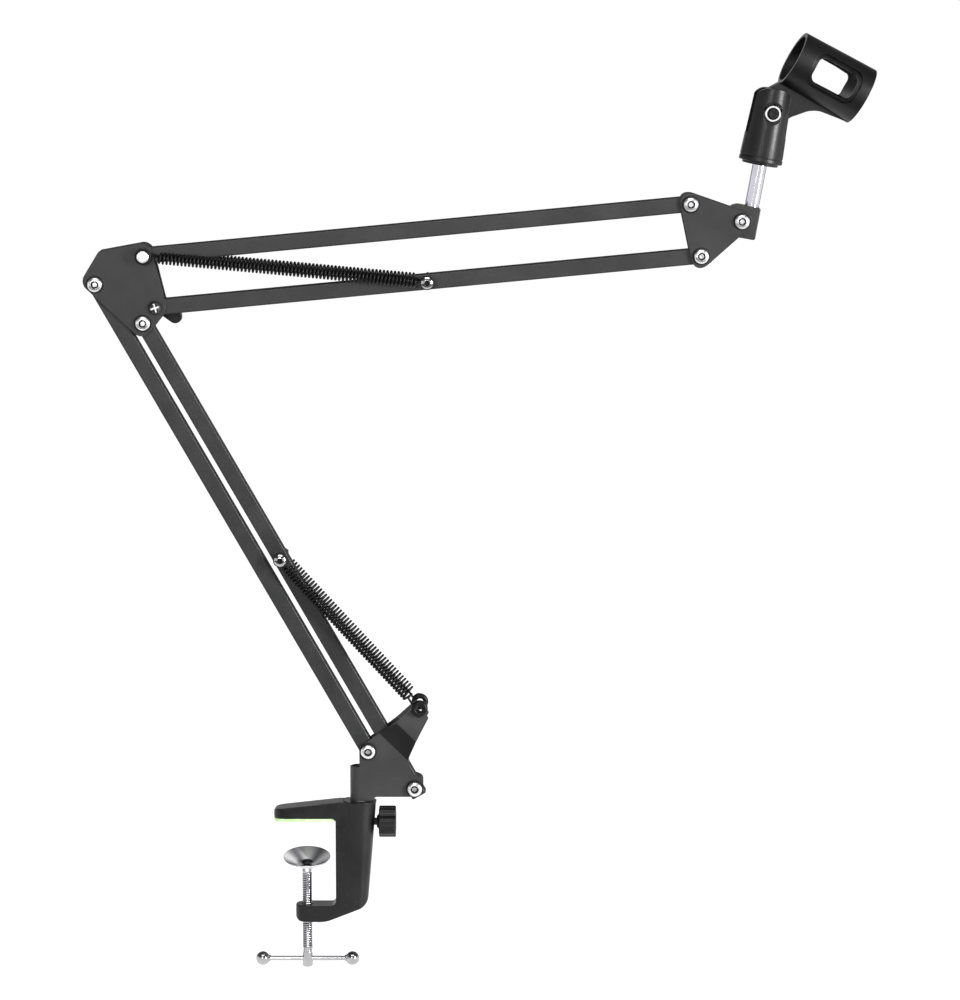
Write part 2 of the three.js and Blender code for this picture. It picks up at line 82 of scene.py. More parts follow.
# Turns a shape drawn in the XY plane to face the front, with its thickness along -Y.
TO_FRONT = Matrix.Rotation(math.pi / 2, 4, "X")
UP_TO_RIGHT = Matrix.Rotation(math.pi / 2, 4, "Y")
FULL_TURN = 2 * math.pi


# Sizes and colours


def length(name, description, default, unit="LENGTH"):
    return bpy.props.FloatProperty(name=name, description=description, default=default, unit=unit, precision=5)


def colour(name, description, default):
    return bpy.props.FloatVectorProperty(
        name=name, description=description, default=default, subtype="COLOR", size=3, min=0, max=1
    )


class ArmSizes(bpy.types.PropertyGroup):
    tube_side: length("Tube side", "Side of the square tubes", 0.010)
    tube_wall: length("Tube wall", "Wall of the square tubes", 0.0012)
    tube_corner: length("Tube corner", "Outer radius along the tubes' edges", 0.0009)
    tube_tail: length("Tube tail", "Length of a tube past its pivot", 0.0062)
    sheet: length("Sheet", "Thickness of the plates and of the base", 0.0015)
    plate_gap: length("Plate gap", "Inner face of every plate, from the middle plane", 0.0054)
    bolt_head: length("Bolt head", "Radius of the button heads", 0.00475)
    bolt_shank: length("Bolt shank", "Radius of the bolts", 0.0025)
    nut: length("Nut", "Radius of the nuts over their corners", 0.0046)
    wire: length("Wire", "Radius of the spring wire", 0.00075)
    coil: length("Coil", "Radius of the springs at the middle of the wire", 0.0032)
    coil_pitch: length("Coil pitch", "Distance from turn to turn of the springs", 0.00235)
    thread_pitch: length("Thread pitch", "Distance from turn to turn of the clamp screw", 0.0015)
    clip_lean: bpy.props.FloatProperty(
        name="Clip lean", description="Direction of the clip's barrel against the post's cross direction",
        default=math.radians(-18.4), subtype="ANGLE",
    )
    clip_turn: bpy.props.FloatProperty(
        name="Clip turn", description="Turn of the clip about the post", default=math.radians(6), subtype="ANGLE",
    )


class ArmColours(bpy.types.PropertyGroup):
    coat: colour("Powder coat", "Satin black coat of the tubes and plates", (0.016, 0.016, 0.0165))
    sheet: colour("Sheet coat", "Satin black coat of the folded base", (0.03, 0.03, 0.0305))
    casting: colour("Casting", "Paint of the clamp's casting", (0.005, 0.005, 0.0055))
    zinc: colour("Zinc plate", "Bolts, nuts and pins", (0.93, 0.93, 0.95))
    chrome: colour("Chrome plate", "The post", (0.64, 0.63, 0.70))
    steel: colour("Nickel plate", "Screw, bar and cup", (0.46, 0.46, 0.47))
    plastic: colour("Plastic", "Knob, wing nut and clip", (0.004, 0.004, 0.0045))
    wire: colour("Spring wire", "Blackened spring wire", (0.004, 0.004, 0.0045))
    brass: colour("Brass", "Threaded insert of the clip", (0.62, 0.42, 0.15))
    pad: colour("Pad", "Soft pad under the jaw", (0.47, 0.76, 0.33))
    floor: colour("Floor", "Plain pale floor", (0.3, 0.3, 0.3))


def sizes():
    """The sizes in millimetres, by name."""
    group = bpy.context.scene.arm_sizes
    names = [n for n in ArmSizes.__annotations__ if not n.startswith("clip_")]
    return {n: getattr(group, n) / MM for n in names}


def tint(name):
    return tuple(getattr(bpy.context.scene.arm_colours, name))


# Places, from the frame


def pivot(joint):
    """A joint's pivot, in millimetres."""
    return next(Vector(j["pos_m"]) for j in frame["joints"] if j["name"] == joint) / MM


def middle(node):
    low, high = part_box(node)
    return (low + high) / 2 / MM


def reach(node):
    """The lowest and highest corner of a node, in millimetres."""
    low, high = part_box(node)
    return low / MM, high / MM


def flat(place):
    """The same place in the arm's middle plane."""
    return Vector((place.x, 0, place.z))


def at(place, degrees=0.0):
    """A place whose +X points along a direction in the arm's plane."""
    return Matrix.Translation(place) @ Matrix.Rotation(-math.radians(degrees), 4, "Y")


def heading(start, end):
    return math.degrees(math.atan2(end.z - start.z, end.x - start.x))


# Shaping, with bmesh operators


def outline(bm, corners, height=0.0):
    """A face through corners (x, y, radius), each rounded by its radius."""
    verts = [bm.verts.new((c[0], c[1], height)) for c in corners]
    bm.faces.new(verts)
    count = len(corners)
    for i, corner in enumerate(corners):
        radius = corner[2] if len(corner) > 2 else 0
        if not radius:
            continue
        here = Vector(corner[:2])
        back = Vector(corners[i - 1][:2]) - here
        ahead = Vector(corners[(i + 1) % count][:2]) - here
        half = back.angle(ahead) / 2
        bmesh.ops.bevel(
            bm, geom=[verts[i]], offset=radius / math.tan(half), offset_type="OFFSET", affect="VERTICES",
            segments=max(3, round(radius * 1.6) + 3), profile=0.5, material=-1, clamp_overlap=False,
        )
    return bm.faces[:]


def around(circles):
    """The corners of a belt drawn tight around circles (x, y, radius), listed anticlockwise."""
    lines = []
    for i, (x, y, r) in enumerate(circles):
        nx, ny, nr = circles[(i + 1) % len(circles)]
        run = Vector((nx - x, ny - y))
        angle = math.atan2(run.y, run.x) - math.acos((r - nr) / run.length)
        normal = Vector((math.cos(angle), math.sin(angle)))
        lines.append((normal, normal.dot(Vector((x, y))) + r))
    corners = []
    for i, (x, y, r) in enumerate(circles):
        (n1, d1), (n2, d2) = lines[i - 1], lines[i]
        det = n1.x * n2.y - n1.y * n2.x
        corners.append(((d1 * n2.y - d2 * n1.y) / det, (n1.x * d2 - n2.x * d1) / det, r))
    return corners


def thicken(bm, faces, depth):
    made = bmesh.ops.extrude_face_region(bm, geom=faces)
    verts = [v for v in made["geom"] if isinstance(v, bmesh.types.BMVert)]
    bmesh.ops.translate(bm, vec=(0, 0, depth), verts=verts)
    bmesh.ops.recalc_face_normals(bm, faces=bm.faces)
    return bm


def prism(corners, low, high):
    """An outline in the XY plane made thick along Z."""
    bm = bmesh.new()
    return thicken(bm, outline(bm, corners, low), high - low)


def slab(corners, front, back):
    """An outline in the arm's plane, as (x, z, radius), made thick from front to back."""
    bm = prism(corners, -back, -front)
    bmesh.ops.transform(bm, matrix=TO_FRONT, verts=bm.verts)
    return bm


def lathe(profile, steps=48):
    """A round shape about Z from (radius, height) steps."""
    bm = bmesh.new()
    verts = [bm.verts.new((r, 0, z)) for r, z in profile]
    edges = [bm.edges.new(pair) for pair in zip(verts, verts[1:])]
    bmesh.ops.spin(
        bm, geom=verts + edges, cent=(0, 0, 0), axis=(0, 0, 1), angle=FULL_TURN, steps=steps, use_merge=True
    )
    bmesh.ops.remove_doubles(bm, verts=bm.verts, dist=1e-4)
    bmesh.ops.recalc_face_normals(bm, faces=bm.faces)
    return bm


def rod(radius, low, high, steps=48):
    return lathe([(0, low), (radius, low), (radius, high), (0, high)], steps)


def hexagon(radius, low, high):
    """A six-sided prism along Z with a corner on +X."""
    bm = bmesh.new()
    bmesh.ops.create_circle(bm, cap_ends=True, segments=6, radius=radius)
    bmesh.ops.translate(bm, vec=(0, 0, low), verts=bm.verts)
    return thicken(bm, bm.faces[:], high - low)


def block(low, high):
    bm = bmesh.new()
    bmesh.ops.create_cube(bm, size=1)
    low, high = Vector(low), Vector(high)
    bmesh.ops.scale(bm, vec=high - low, verts=bm.verts)
    bmesh.ops.translate(bm, vec=(low + high) / 2, verts=bm.verts)
    return bm


def moved(bm, matrix):
    bmesh.ops.transform(bm, matrix=matrix, verts=bm.verts)
    return bm


def facing(bm):
    """The same shape turned so that its +Z points to the front."""
    return moved(bm, TO_FRONT)


def soften(bm, width, segments=2, over=32):
    """Rounds every edge sharper than an angle."""
    limit = math.radians(over)
    edges = [e for e in bm.edges if e.is_manifold and e.calc_face_angle(0) > limit]
    bmesh.ops.bevel(
        bm, geom=edges, offset=width, offset_type="OFFSET", affect="EDGES", segments=segments, profile=0.5,
        material=-1, clamp_overlap=False,
    )
    return bm


def together(*shapes):
    """Several closed shapes as one."""
    bm = bmesh.new()
    for shape in shapes:
        mesh = bpy.data.meshes.new("part of a piece")
        shape.to_mesh(mesh)
        shape.free()
        bm.from_mesh(mesh)
        bpy.data.meshes.remove(mesh)
    return bm


def loose(bm, name):
    name = name.replace(" ", "-")
    mesh = bpy.data.meshes.new(name)
    bm.to_mesh(mesh)
    bm.free()
    made = bpy.data.objects.new(name, mesh)
    bpy.context.scene.collection.objects.link(made)
    return made


def discard(made):
    mesh = made.data
    bpy.data.objects.remove(made)
    bpy.data.meshes.remove(mesh)


def combine(bm, *steps):
    """Cuts, joins or keeps what is common, one (operation, shape) after another."""
    body = loose(bm, "blank")
    tools = []
    for operation, shape in steps:
        tool = loose(shape, "tool")
        tools.append(tool)
        modifier = body.modifiers.new("cut", "BOOLEAN")
        modifier.object, modifier.operation, modifier.solver = tool, operation, "EXACT"
    bpy.context.view_layer.update()
    evaluated = body.evaluated_get(bpy.context.evaluated_depsgraph_get())
    out = bmesh.new()
    out.from_mesh(evaluated.to_mesh())
    evaluated.to_mesh_clear()
    for made in [body, *tools]:
        discard(made)
    bmesh.ops.remove_doubles(out, verts=out.verts, dist=2e-3)
    bmesh.ops.dissolve_limit(
        out, angle_limit=math.radians(0.6), use_dissolve_boundaries=False, verts=out.verts, edges=out.edges
    )
    return out


def cut(bm, *tools):
    return combine(bm, *[("DIFFERENCE", tool) for tool in tools])


def wire_path(points, radius, sides=8, thick=0, share=1.0):
    """A round wire along points, closed at both ends; the first points may be thicker by a share."""
    line = bpy.data.curves.new("wire", "CURVE")
    line.dimensions, line.bevel_depth, line.use_fill_caps = "3D", radius, True
    line.bevel_resolution = sides // 2 - 2
    spline = line.splines.new("POLY")
    spline.points.add(len(points) - 1)
    for i, (target, source) in enumerate(zip(spline.points, points)):
        target.co = (*source, 1)
        target.radius = share if i < thick else 1.0
    made = bpy.data.objects.new("wire", line)
    bpy.context.scene.collection.objects.link(made)
    bpy.context.view_layer.update()
    evaluated = made.evaluated_get(bpy.context.evaluated_depsgraph_get())
    bm = bmesh.new()
    bm.from_mesh(evaluated.to_mesh())
    evaluated.to_mesh_clear()
    bpy.data.objects.remove(made)
    bpy.data.curves.remove(line)
    bmesh.ops.remove_doubles(bm, verts=bm.verts, dist=1e-4)
    return bm


def piece(bm, name, finishes, body, nodes=(), place=None, smooth_under=40, second=None):
    """Puts a shape in its place as a finished piece that rides on a body; second picks the faces of a second finish."""
    bmesh.ops.recalc_face_normals(bm, faces=bm.faces)
    limit = math.radians(smooth_under)
    for face in bm.faces:
        face.smooth = True
        face.material_index = int(bool(second and second(face)))
    bmesh.ops.transform(bm, matrix=Matrix.Scale(MM, 4) @ (place or Matrix()), verts=bm.verts)
    for edge in bm.edges:
        edge.smooth = edge.calc_face_angle(0) < limit
    made = loose(bm, name)
    for finish in finishes:
        made.data.materials.append(finish)
    normals = made.modifiers.new("Even shading", "WEIGHTED_NORMAL")
    normals.keep_sharp = True
    if body:
        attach(made, body)
    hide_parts(*nodes)
    return made


# Materials


class Value:
    """A number that changes over a surface; sums on it add Math nodes."""

    def __init__(self, graph, socket):
        self.graph, self.socket = graph, socket

    def math(self, operation, *operands):
        node = self.graph.add("Math", {"operation": operation}, dict(enumerate(operands)))
        return Value(self.graph, node.outputs[0])

    def __add__(self, other):
        return self.math("ADD", self, other)

    def __radd__(self, other):
        return self.math("ADD", other, self)

    def __sub__(self, other):
        return self.math("SUBTRACT", self, other)

    def __rsub__(self, other):
        return self.math("SUBTRACT", other, self)

    def __mul__(self, other):
        return self.math("MULTIPLY", self, other)

    def __rmul__(self, other):
        return self.math("MULTIPLY", other, self)

    def __pow__(self, other):
        return self.math("POWER", self, other)

    def within(self, low, high):
        """0 below low, 1 above high, and a smooth step between."""
        settings = {"interpolation_type": "SMOOTHSTEP"}
        sockets = {"Value": self, "From Min": low, "From Max": high}
        return Value(self.graph, self.graph.add("MapRange", settings, sockets).outputs["Result"])


class Graph:
    """The nodes of a material or of the world, added one by one."""

    def __init__(self, owner):
        owner.use_nodes = True
        self.tree = owner.node_tree
        self.tree.nodes.clear()

    def add(self, kind, settings=None, sockets=None):
        node = self.tree.nodes.new("ShaderNode" + kind)
        for key, value in (settings or {}).items():
            setattr(node, key, value)
        for key, value in (sockets or {}).items():
            if isinstance(value, Value):
                value = value.socket
            if isinstance(value, bpy.types.NodeSocket):
                self.tree.links.new(value, node.inputs[key])
            else:
                node.inputs[key].default_value = value
        return node

    def blend(self, factor, first, second):
        sockets = {0: factor, 6: (*first, 1), 7: (*second, 1)}
        return self.add("Mix", {"data_type": "RGBA"}, sockets).outputs[2]


class Finish(Graph):
    """A material with one Principled shader."""

    def __init__(self, name):
        self.material = bpy.data.materials.new(name)
        super().__init__(self.material)

    def place(self, stretch=(1, 1, 1)):
        coordinates = self.add("TexCoord").outputs["Object"]
        return self.add("Mapping", None, {"Vector": coordinates, "Scale": stretch}).outputs["Vector"]

    def noise(self, scale, stretch=(1, 1, 1), detail=3.0, rough=0.55):
        sockets = {"Vector": self.place(stretch), "Scale": scale, "Detail": detail, "Roughness": rough}
        return Value(self, self.add("TexNoise", None, sockets).outputs["Fac"])

    def cells(self, scale):
        sockets = {"Vector": self.place(), "Scale": scale}
        return Value(self, self.add("TexVoronoi", None, sockets).outputs["Distance"])

    def relief(self, height, distance, strength=1.0):
        sockets = {"Height": height, "Distance": distance, "Strength": strength}
        return self.add("Bump", None, sockets).outputs["Normal"]

    def shade(self, **sockets):
        names = {key.replace("_", " ").title().replace("Ior", "IOR"): value for key, value in sockets.items()}
        shader = self.add("BsdfPrincipled", None, names)
        self.add("OutputMaterial", None, {"Surface": shader.outputs["BSDF"]})
        return self.material


def darker(shade, share):
    return tuple(c * share for c in shade)


def lighter(shade, share):
    return tuple(c + (1 - c) * share for c in shade)


def coated(name, shade, gloss, grain, peel, shine=0.45):
    """Powder coat or paint: soft orange peel, faint cloudiness and tiny pale dust specks."""
    finish = Finish(name)
    cloud = finish.noise(38, detail=4).within(0.35, 0.7)
    fine = finish.noise(grain, detail=2)
    specks = finish.noise(grain * 0.45, detail=1, rough=0.3).within(0.70, 0.76)
    paint = finish.blend(cloud, darker(shade, 0.82), lighter(shade, 0.005))
    paint = finish.add("Mix", {"data_type": "RGBA"}, {
        0: specks * 0.12, 6: paint, 7: (*lighter(shade, 0.06), 1),
    }).outputs[2]
    return finish.shade(
        base_color=paint, roughness=gloss + cloud * 0.07 + fine * 0.08, specular_ior_level=shine,
        normal=finish.relief(fine, peel, 0.55),
    )


def zinc_plate():
    """Bright zinc: fine turning marks, slightly cloudy, a bluish cast in places."""
    finish = Finish("bright zinc plate")
    shade = tint("zinc")
    marks = finish.noise(5200, stretch=(1, 0.08, 1), detail=2)
    cloud = finish.noise(420, detail=3)
    plate = finish.blend(cloud.within(0.35, 0.7), darker(shade, 0.82), lighter(shade, 0.25))
    return finish.shade(
        base_color=plate, metallic=1.0, roughness=0.24 + cloud * 0.08 + marks * 0.05,
        normal=finish.relief(marks, 0.000006, 0.3),
    )


def bright_plate(name, shade):
    """Polished plate with faint polishing lines and a breath of haze."""
    finish = Finish(name)
    haze = finish.noise(160, detail=4).within(0.4, 0.8)
    lines = finish.noise(2600, stretch=(1, 1, 0.06), detail=2)
    plate = finish.blend(haze, shade, darker(shade, 0.86))
    return finish.shade(
        base_color=plate, metallic=1.0, roughness=0.07 + haze * 0.09 + lines * 0.05,
        normal=finish.relief(lines, 0.000003, 0.2),
    )


def spun_steel():
    """Bright steel spun on a lathe, with fine rings; a fan of bright rays, with dark rays between, is painted into its
    colour round the middle as painted highlights.
    """
    finish = Finish("spun bright steel")
    shade = tint("chrome")
    rings = finish.noise(160, detail=2)
    apart = finish.add("SeparateXYZ", None, {"Vector": finish.place()}).outputs
    x, y = Value(finish, apart["X"]), Value(finish, apart["Y"])
    # Cosine of twice the angle round the cup's axis; squared below, it paints the bright rays of highlight and the dark
    # rays between.
    turn = (x * x - y * y) * (x * x + y * y) ** -1
    plate = finish.blend(turn * turn, darker(shade, 0.3), lighter(shade, 0.7))
    return finish.shade(
        base_color=plate, metallic=0.35, roughness=0.26 + rings * 0.06, anisotropic=0.8,
        normal=finish.relief(rings, 0.000004, 0.3),
    )


def moulded_plastic():
    """Moulded black plastic: fine spark texture, rubbed a little smoother in patches."""
    finish = Finish("satin moulded plastic")
    shade = tint("plastic")
    spark = finish.noise(3600, detail=3)
    rubbed = finish.noise(70, detail=3).within(0.42, 0.72)
    body = finish.blend(rubbed, shade, lighter(shade, 0.003))
    return finish.shade(
        base_color=body, roughness=0.34 - rubbed * 0.06 + spark * 0.07, specular_ior_level=0.3,
        normal=finish.relief(spark, 0.00004, 0.4),
    )


def spring_wire():
    """Blackened steel wire with drawing lines and small bare rubs."""
    finish = Finish("blackened spring wire")
    shade = tint("wire")
    lines = finish.noise(4200, detail=2)
    bare = finish.noise(900, detail=3).within(0.66, 0.78)
    steel = finish.blend(bare * 0.3, shade, (0.10, 0.10, 0.105))
    return finish.shade(
        base_color=steel, metallic=bare * 0.2, roughness=0.3 + lines * 0.14, specular_ior_level=0.2,
        normal=finish.relief(lines, 0.00002, 0.4),
    )


def turned_brass():
    """Turned brass with tool marks round it and a dull film in places."""
    finish = Finish("turned brass")
    shade = tint("brass")
    marks = finish.noise(3000, stretch=(0.08, 0.08, 1), detail=2)
    film = finish.noise(260, detail=4).within(0.45, 0.75)
    metal = finish.blend(film, shade, darker(shade, 0.6))
    return finish.shade(
        base_color=metal, metallic=1.0, roughness=0.2 + film * 0.2 + marks * 0.06,
        normal=finish.relief(marks, 0.00003, 0.5),
    )


def soft_pad():
    """Closed-cell pad: small pores and a slightly uneven colour, and a faint glow of painted light."""
    finish = Finish("soft green pad")
    shade = tint("pad")
    pores = finish.cells(1500)
    cloud = finish.noise(120, detail=4).within(0.35, 0.7)
    foam = finish.blend(cloud, darker(shade, 0.88), lighter(shade, 0.2))
    return finish.shade(
        base_color=foam, roughness=0.75 + pores * 0.2, normal=finish.relief(pores, 0.0001, 0.6),
        # The pad glows faintly in its own colour though it is no lamp: painted light.
        emission_color=foam, emission_strength=0.12,
    )


def pale_floor():
    """Matte studio floor, very slightly mottled."""
    finish = Finish("pale studio floor")
    shade = tint("floor")
    mottle = finish.noise(3, detail=3).within(0.3, 0.7)
    return finish.shade(
        base_color=finish.blend(mottle, shade, lighter(shade, 0.1)), roughness=0.9,
        specular_ior_level=0.0, emission_color=(1, 1, 1, 1), emission_strength=0.95,
    )


FINISHES = {
    "coat": lambda: coated("satin powder coat", tint("coat"), 0.36, 1900, 0.00006),
    "sheet": lambda: coated("satin sheet coat", tint("sheet"), 0.36, 1700, 0.00006),
    # The coat at half its brightness and with less sheen, laid on faces that the light misses: painted shade.
    "painted_shade": lambda: coated("shaded powder coat", darker(tint("coat"), 0.5), 0.6, 1900, 0.00004, 0.15),
    "casting": lambda: coated("painted casting", tint("casting"), 0.28, 1300, 0.00005, 0.3),
    "plated": zinc_plate,
    "chrome": lambda: bright_plate("polished chrome plate", tint("chrome")),
    "steel": lambda: bright_plate("nickel plate", tint("steel")),
    "spun": spun_steel,
    "plastic": moulded_plastic,
    "spring": spring_wire,
    "brass": turned_brass,
    "pad": soft_pad,
    # The pad's colour much darker and without its glow, for its underside: painted shade.
    "pad_underside_shade": lambda: coated("pad skin", darker(tint("pad"), 0.12), 0.75, 1500, 0.0001, 0.2),
    "floor": pale_floor,
}
made_finishes = {}


def finish_of(slot):
    if slot not in made_finishes:
        made_finishes[slot] = FINISHES[slot]()
    return made_finishes[slot]


def finished(bm, name, kind, body, nodes=(), place=None, smooth_under=40, painted_light_finish=None):
    """A piece in a finish, with a second finish that paints shade or glints and the test for its faces."""
    finishes = [finish_of(kind)] + ([finish_of(painted_light_finish[0])] if painted_light_finish else [])
    return piece(bm, name, finishes, body, nodes, place, smooth_under, painted_light_finish and painted_light_finish[1])


# These faces of the tubes and plates take the darker coat: painted shade.
def off_the_front(face):
    """Faces that look neither forward nor back."""
    return abs(face.normal.y) < 0.8


# Faces of a bolt head that take the darker coat: painted shade in the socket.
def in_the_socket(face):
    """The crown and the walls of a bolt head's socket, but not its floor."""
    spot = face.calc_center_median()
    return math.hypot(spot.x, spot.y) < 2.7 and spot.z > 1.05


# Tubes


def square_tube(near, far, round_near):
    """A square tube along +X with softly rounded long edges and open square ends."""
    s = sizes()
    half = s["tube_side"] / 2
    turn = half - 0.02 if round_near else 0
    bm = slab([(near, -half, turn), (far, -half), (far, half), (near, half, turn)], -half, half)
    soften(bm, s["tube_corner"], 4, 60)
    area = (s["tube_side"] - 3 * s["tube_corner"]) ** 2
    for end in [f for f in bm.faces if abs(f.normal.x) > 0.99 and f.calc_area() > area]:
        bmesh.ops.inset_individual(bm, faces=[end], thickness=s["tube_wall"] * 0.5)
        bmesh.ops.inset_individual(bm, faces=[end], thickness=0.05, depth=-14)
    return bm


def tube_piece(name, node, body, start, end, round_start=False):
    s = sizes()
    run = (end - start).length
    near = -s["tube_side"] / 2 if round_start else -s["tube_tail"]
    bm = square_tube(near, run + s["tube_tail"], round_start)
    # The tube's top, bottom and rounded edges take the darker coat: painted shade.
    return finished(bm, name, "coat", body, [node], at(start, heading(start, end)), painted_light_finish=("painted_shade", off_the_front))


# Plates


def sheet_pair(name, nodes, body, corners, place):
    """The same plate in front of and behind the tubes."""
    s = sizes()
    inner, outer = s["plate_gap"], s["plate_gap"] + s["sheet"]
    for side, node, depths in (("front", nodes[0], (-outer, -inner)), ("rear", nodes[1], (inner, outer))):
        bm = soften(slab(corners, *depths), 0.32, 3, 60)
        # The plates' edges take the darker coat: painted shade.
        finished(bm, f"{name} {side}", "coat", body, [node], at(place), painted_light_finish=("painted_shade", off_the_front))


# Fasteners


def button_head():
    """A button-head bolt about Z, head up, from the head's underside."""
    s = sizes()
    head, shank = s["bolt_head"], s["bolt_shank"]
    dome = [(0, 2.7), (2.5, 2.7), (3.3, 2.5), (4.1, 2.1), (4.55, 1.55), (head, 0.8), (head - 0.15, 0)]
    bm = lathe(dome + [(shank, 0), (shank, -19.3), (shank - 0.4, -19.7), (0, -19.7)], 64)
    socket = hexagon(1.7, 1.0, 4)
    lead = lathe([(0, 2.35), (1.6, 2.35), (2.15, 2.9), (0, 2.9)])
    return soften(cut(bm, socket, lead), 0.07, 1, 45)


def hex_nut(radius, height):
    """A chamfered hexagon nut about Z, with the first turn of its thread sunk in."""
    round_off = lathe([
        (0, 0), (radius - 0.55, 0), (radius + 0.1, 0.45), (radius + 0.1, height - 0.45),
        (radius - 0.55, height), (0, height),
    ], 64)
    bm = combine(hexagon(radius, 0, height), ("INTERSECT", round_off))
    lead = lathe([(0, height - 0.5), (radius * 0.56, height - 0.5), (radius * 0.68, height + 0.2), (0, height + 0.2)])
    return soften(cut(bm, lead), 0.08, 1, 45)


PIVOTS = {
    "base_left": "base", "base_right": "base", "elbow_left": "elbow", "elbow_right": "elbow",
    "head_upper": "head", "head_lower": "head", "head_tilt": "head",
}


def pivot_fasteners():
    s = sizes()
    face = s["plate_gap"] + s["sheet"]
    head, nut = button_head(), hex_nut(s["nut"], 4)
    washer = soften(lathe([(2.7, 0), (5.5, 0), (5.5, 0.28), (2.7, 0.28), (2.7, 0)]), 0.06, 1, 60)
    for i, (name, body) in enumerate(PIVOTS.items()):
        words = name.replace("_", " ")
        place = flat(middle(f"{name}_bolt"))
        turn = Matrix.Rotation(0.4 + 0.7 * i, 4, "Z")
        front = at(place) @ Matrix.Translation((0, -face - 0.3, 0)) @ TO_FRONT
        back = at(place) @ Matrix.Translation((0, face + 0.3, 0)) @ TO_FRONT.inverted()
        # The socket of each button head takes the darker coat: painted shade in the recess.
        finished(head.copy(), f"{words} button bolt", "plated", body, [f"{name}_bolt"], front @ turn,
                 painted_light_finish=("painted_shade", in_the_socket))
        finished(nut.copy(), f"{words} hex nut", "plated", body, [f"{name}_nut"], back @ turn)
        # A thin washer under each head, all in the darker coat: a ring of painted shadow round the head.
        finished(washer.copy(), f"{words} front washer", "coat", body, (), at(place) @ Matrix.Translation(
            (0, -face - 0.01, 0)) @ TO_FRONT, painted_light_finish=("painted_shade", lambda face: True))
    for shape in (head, nut, washer):
        shape.free()


def spring_fasteners(which, body):
    """The long bolt across a tube that holds the far ends of two springs."""
    words = f"{which} spring"
    place = flat(middle(f"{which}_spring_bolt"))
    half = sizes()["tube_side"] / 2
    low, high = reach(f"{which}_spring_bolt")
    front, back = -low.y, high.y
    under = front - 2.4
    bolt = lathe([
        (0, front), (1.6, front - 0.1), (2.9, front - 0.65), (3.8, front - 1.2), (4.5, under + 0.6), (4.5, under),
        (2.5, under), (2.5, -back), (0, -back),
    ])
    bolt = cut(bolt, hexagon(1.9, front - 1.4, front + 1))
    # The rim and sides of the head and its socket walls take the darker coat: painted shade; only the top of the dome
    # stays bright.
    finished(soften(bolt, 0.12, 2, 50), f"{words} bolt", "steel", body, [f"{which}_spring_bolt"], at(place) @ TO_FRONT,
             painted_light_finish=("painted_shade", lambda face: face.calc_center_median().z < front - 1.25 or face.normal.z < 0.3))
    for side, node in ((1, "front"), (-1, "rear")):
        ends = sorted((side * (half + 0.3), side * 9.6))
        collar = lathe([
            (2.7, ends[0]), (3.9, ends[0]), (3.9, ends[0] + 0.9), (3.6, ends[0] + 1.3), (3.6, ends[1] - 1.3),
            (3.9, ends[1] - 0.9), (3.9, ends[1]), (2.7, ends[1]), (2.7, ends[0]),
        ])
        finished(soften(collar, 0.12, 2, 30), f"{words} spacer {node}", "coat", body,
                 [f"{which}_spring_spacer_{node}"], at(place) @ TO_FRONT)
    nut = hex_nut(sizes()["nut"], 4)
    finished(nut, f"{words} nut", "coat", body, [f"{which}_spring_nut"],
             at(place) @ Matrix.Translation((0, under, 0)) @ TO_FRONT.inverted())


def spring_pin():
    """The grooved pin across the elbow that holds the near ends of the upper springs."""
    face = sizes()["plate_gap"] + sizes()["sheet"] + 0.3
    half = [(2.5, 0), (2.5, face), (3.6, face), (3.6, 9.5), (3.3, 9.8), (2.25, 9.8), (2.25, 12.6), (3.9, 12.6),
            (3.9, 13.6), (3.6, 14.1), (3.1, 14.4), (0, 14.4)]
    bm = lathe([(r, -y) for r, y in reversed(half[1:])] + half[1:])
    slot = moved(block((-5, -0.4, 13.9), (5, 0.4, 16)), Matrix.Rotation(0.5, 4, "Z"))
    finished(soften(cut(bm, slot), 0.1, 2, 45), "elbow spring pin", "plated", "elbow", ["spring_pin"],
             at(pivot("upper_arm")) @ TO_FRONT)


# The floor of the cross recess, laid in bright zinc plate on the black dome: painted glints.
def in_the_cross(face):
    spot = face.calc_center_median()
    return math.hypot(spot.x, spot.y) < 3 and 1.4 < spot.z < 1.65


def tension_bolt():
    """A black domed bolt through the elbow, with a cross recess."""
    face = sizes()["plate_gap"] + sizes()["sheet"] + 0.3
    dome = [(0, 3), (1.2, 2.95), (2.4, 2.6), (3.4, 1.9), (4.05, 0.9), (4.3, 0), (2.5, 0), (2.5, -25.8), (0, -25.8)]
    bm = lathe(dome, 64)
    arms = [moved(block((-2.9, -0.6, 1.5), (2.9, 0.6, 4)), Matrix.Rotation(a, 4, "Z")) for a in (0.3, 0.3 + math.pi / 2)]
    place = at(pivot("upper_follow")) @ Matrix.Translation((0, -face, 0)) @ TO_FRONT
    # The cross recess is bright zinc plate: painted glints on the black bolt.
    finished(soften(cut(bm, *arms), 0.08, 1, 45), "elbow tension bolt", "coat", "elbow", ["tension_bolt"], place,
             painted_light_finish=("plated", in_the_cross))
    ring = soften(lathe([(4.5, 0), (5.6, 0), (5.6, 0.35), (4.5, 0.35), (4.5, 0)]), 0.08, 1, 60)
    finished(ring, "elbow tension washer", "coat", "elbow", (), at(pivot("upper_follow")) @ Matrix.Translation(
        (0, 0.31 - face, 0)) @ TO_FRONT)


def wing_nut():
    """A plastic wing nut with two rounded wings behind the elbow."""
    low, high = reach("wing_nut")
    back, wing, span, half = high.y, 15.6, 17.5, 4.5
    tip = half - 0.02
    corners = [(-span, -half, tip), (span, -half, tip), (span, half, tip), (-span, half, tip)]
    wings = soften(slab(corners, wing, back), 0.9, 4, 60)
    hub = facing(lathe([(2.9, -back), (4.4, -back), (4.9, -back + 0.5), (5.4, -low.y - 0.4), (5.1, -low.y),
                        (2.9, -low.y), (2.9, -back)]))
    bm = together(wings, soften(hub, 0.2, 2, 50))
    place = at(pivot("wing_turn")) @ Matrix.Rotation(math.radians(36), 4, "Y")
    finished(bm, "tension wing nut", "plastic", "wing_nut", ["wing_nut"], place)


# Springs


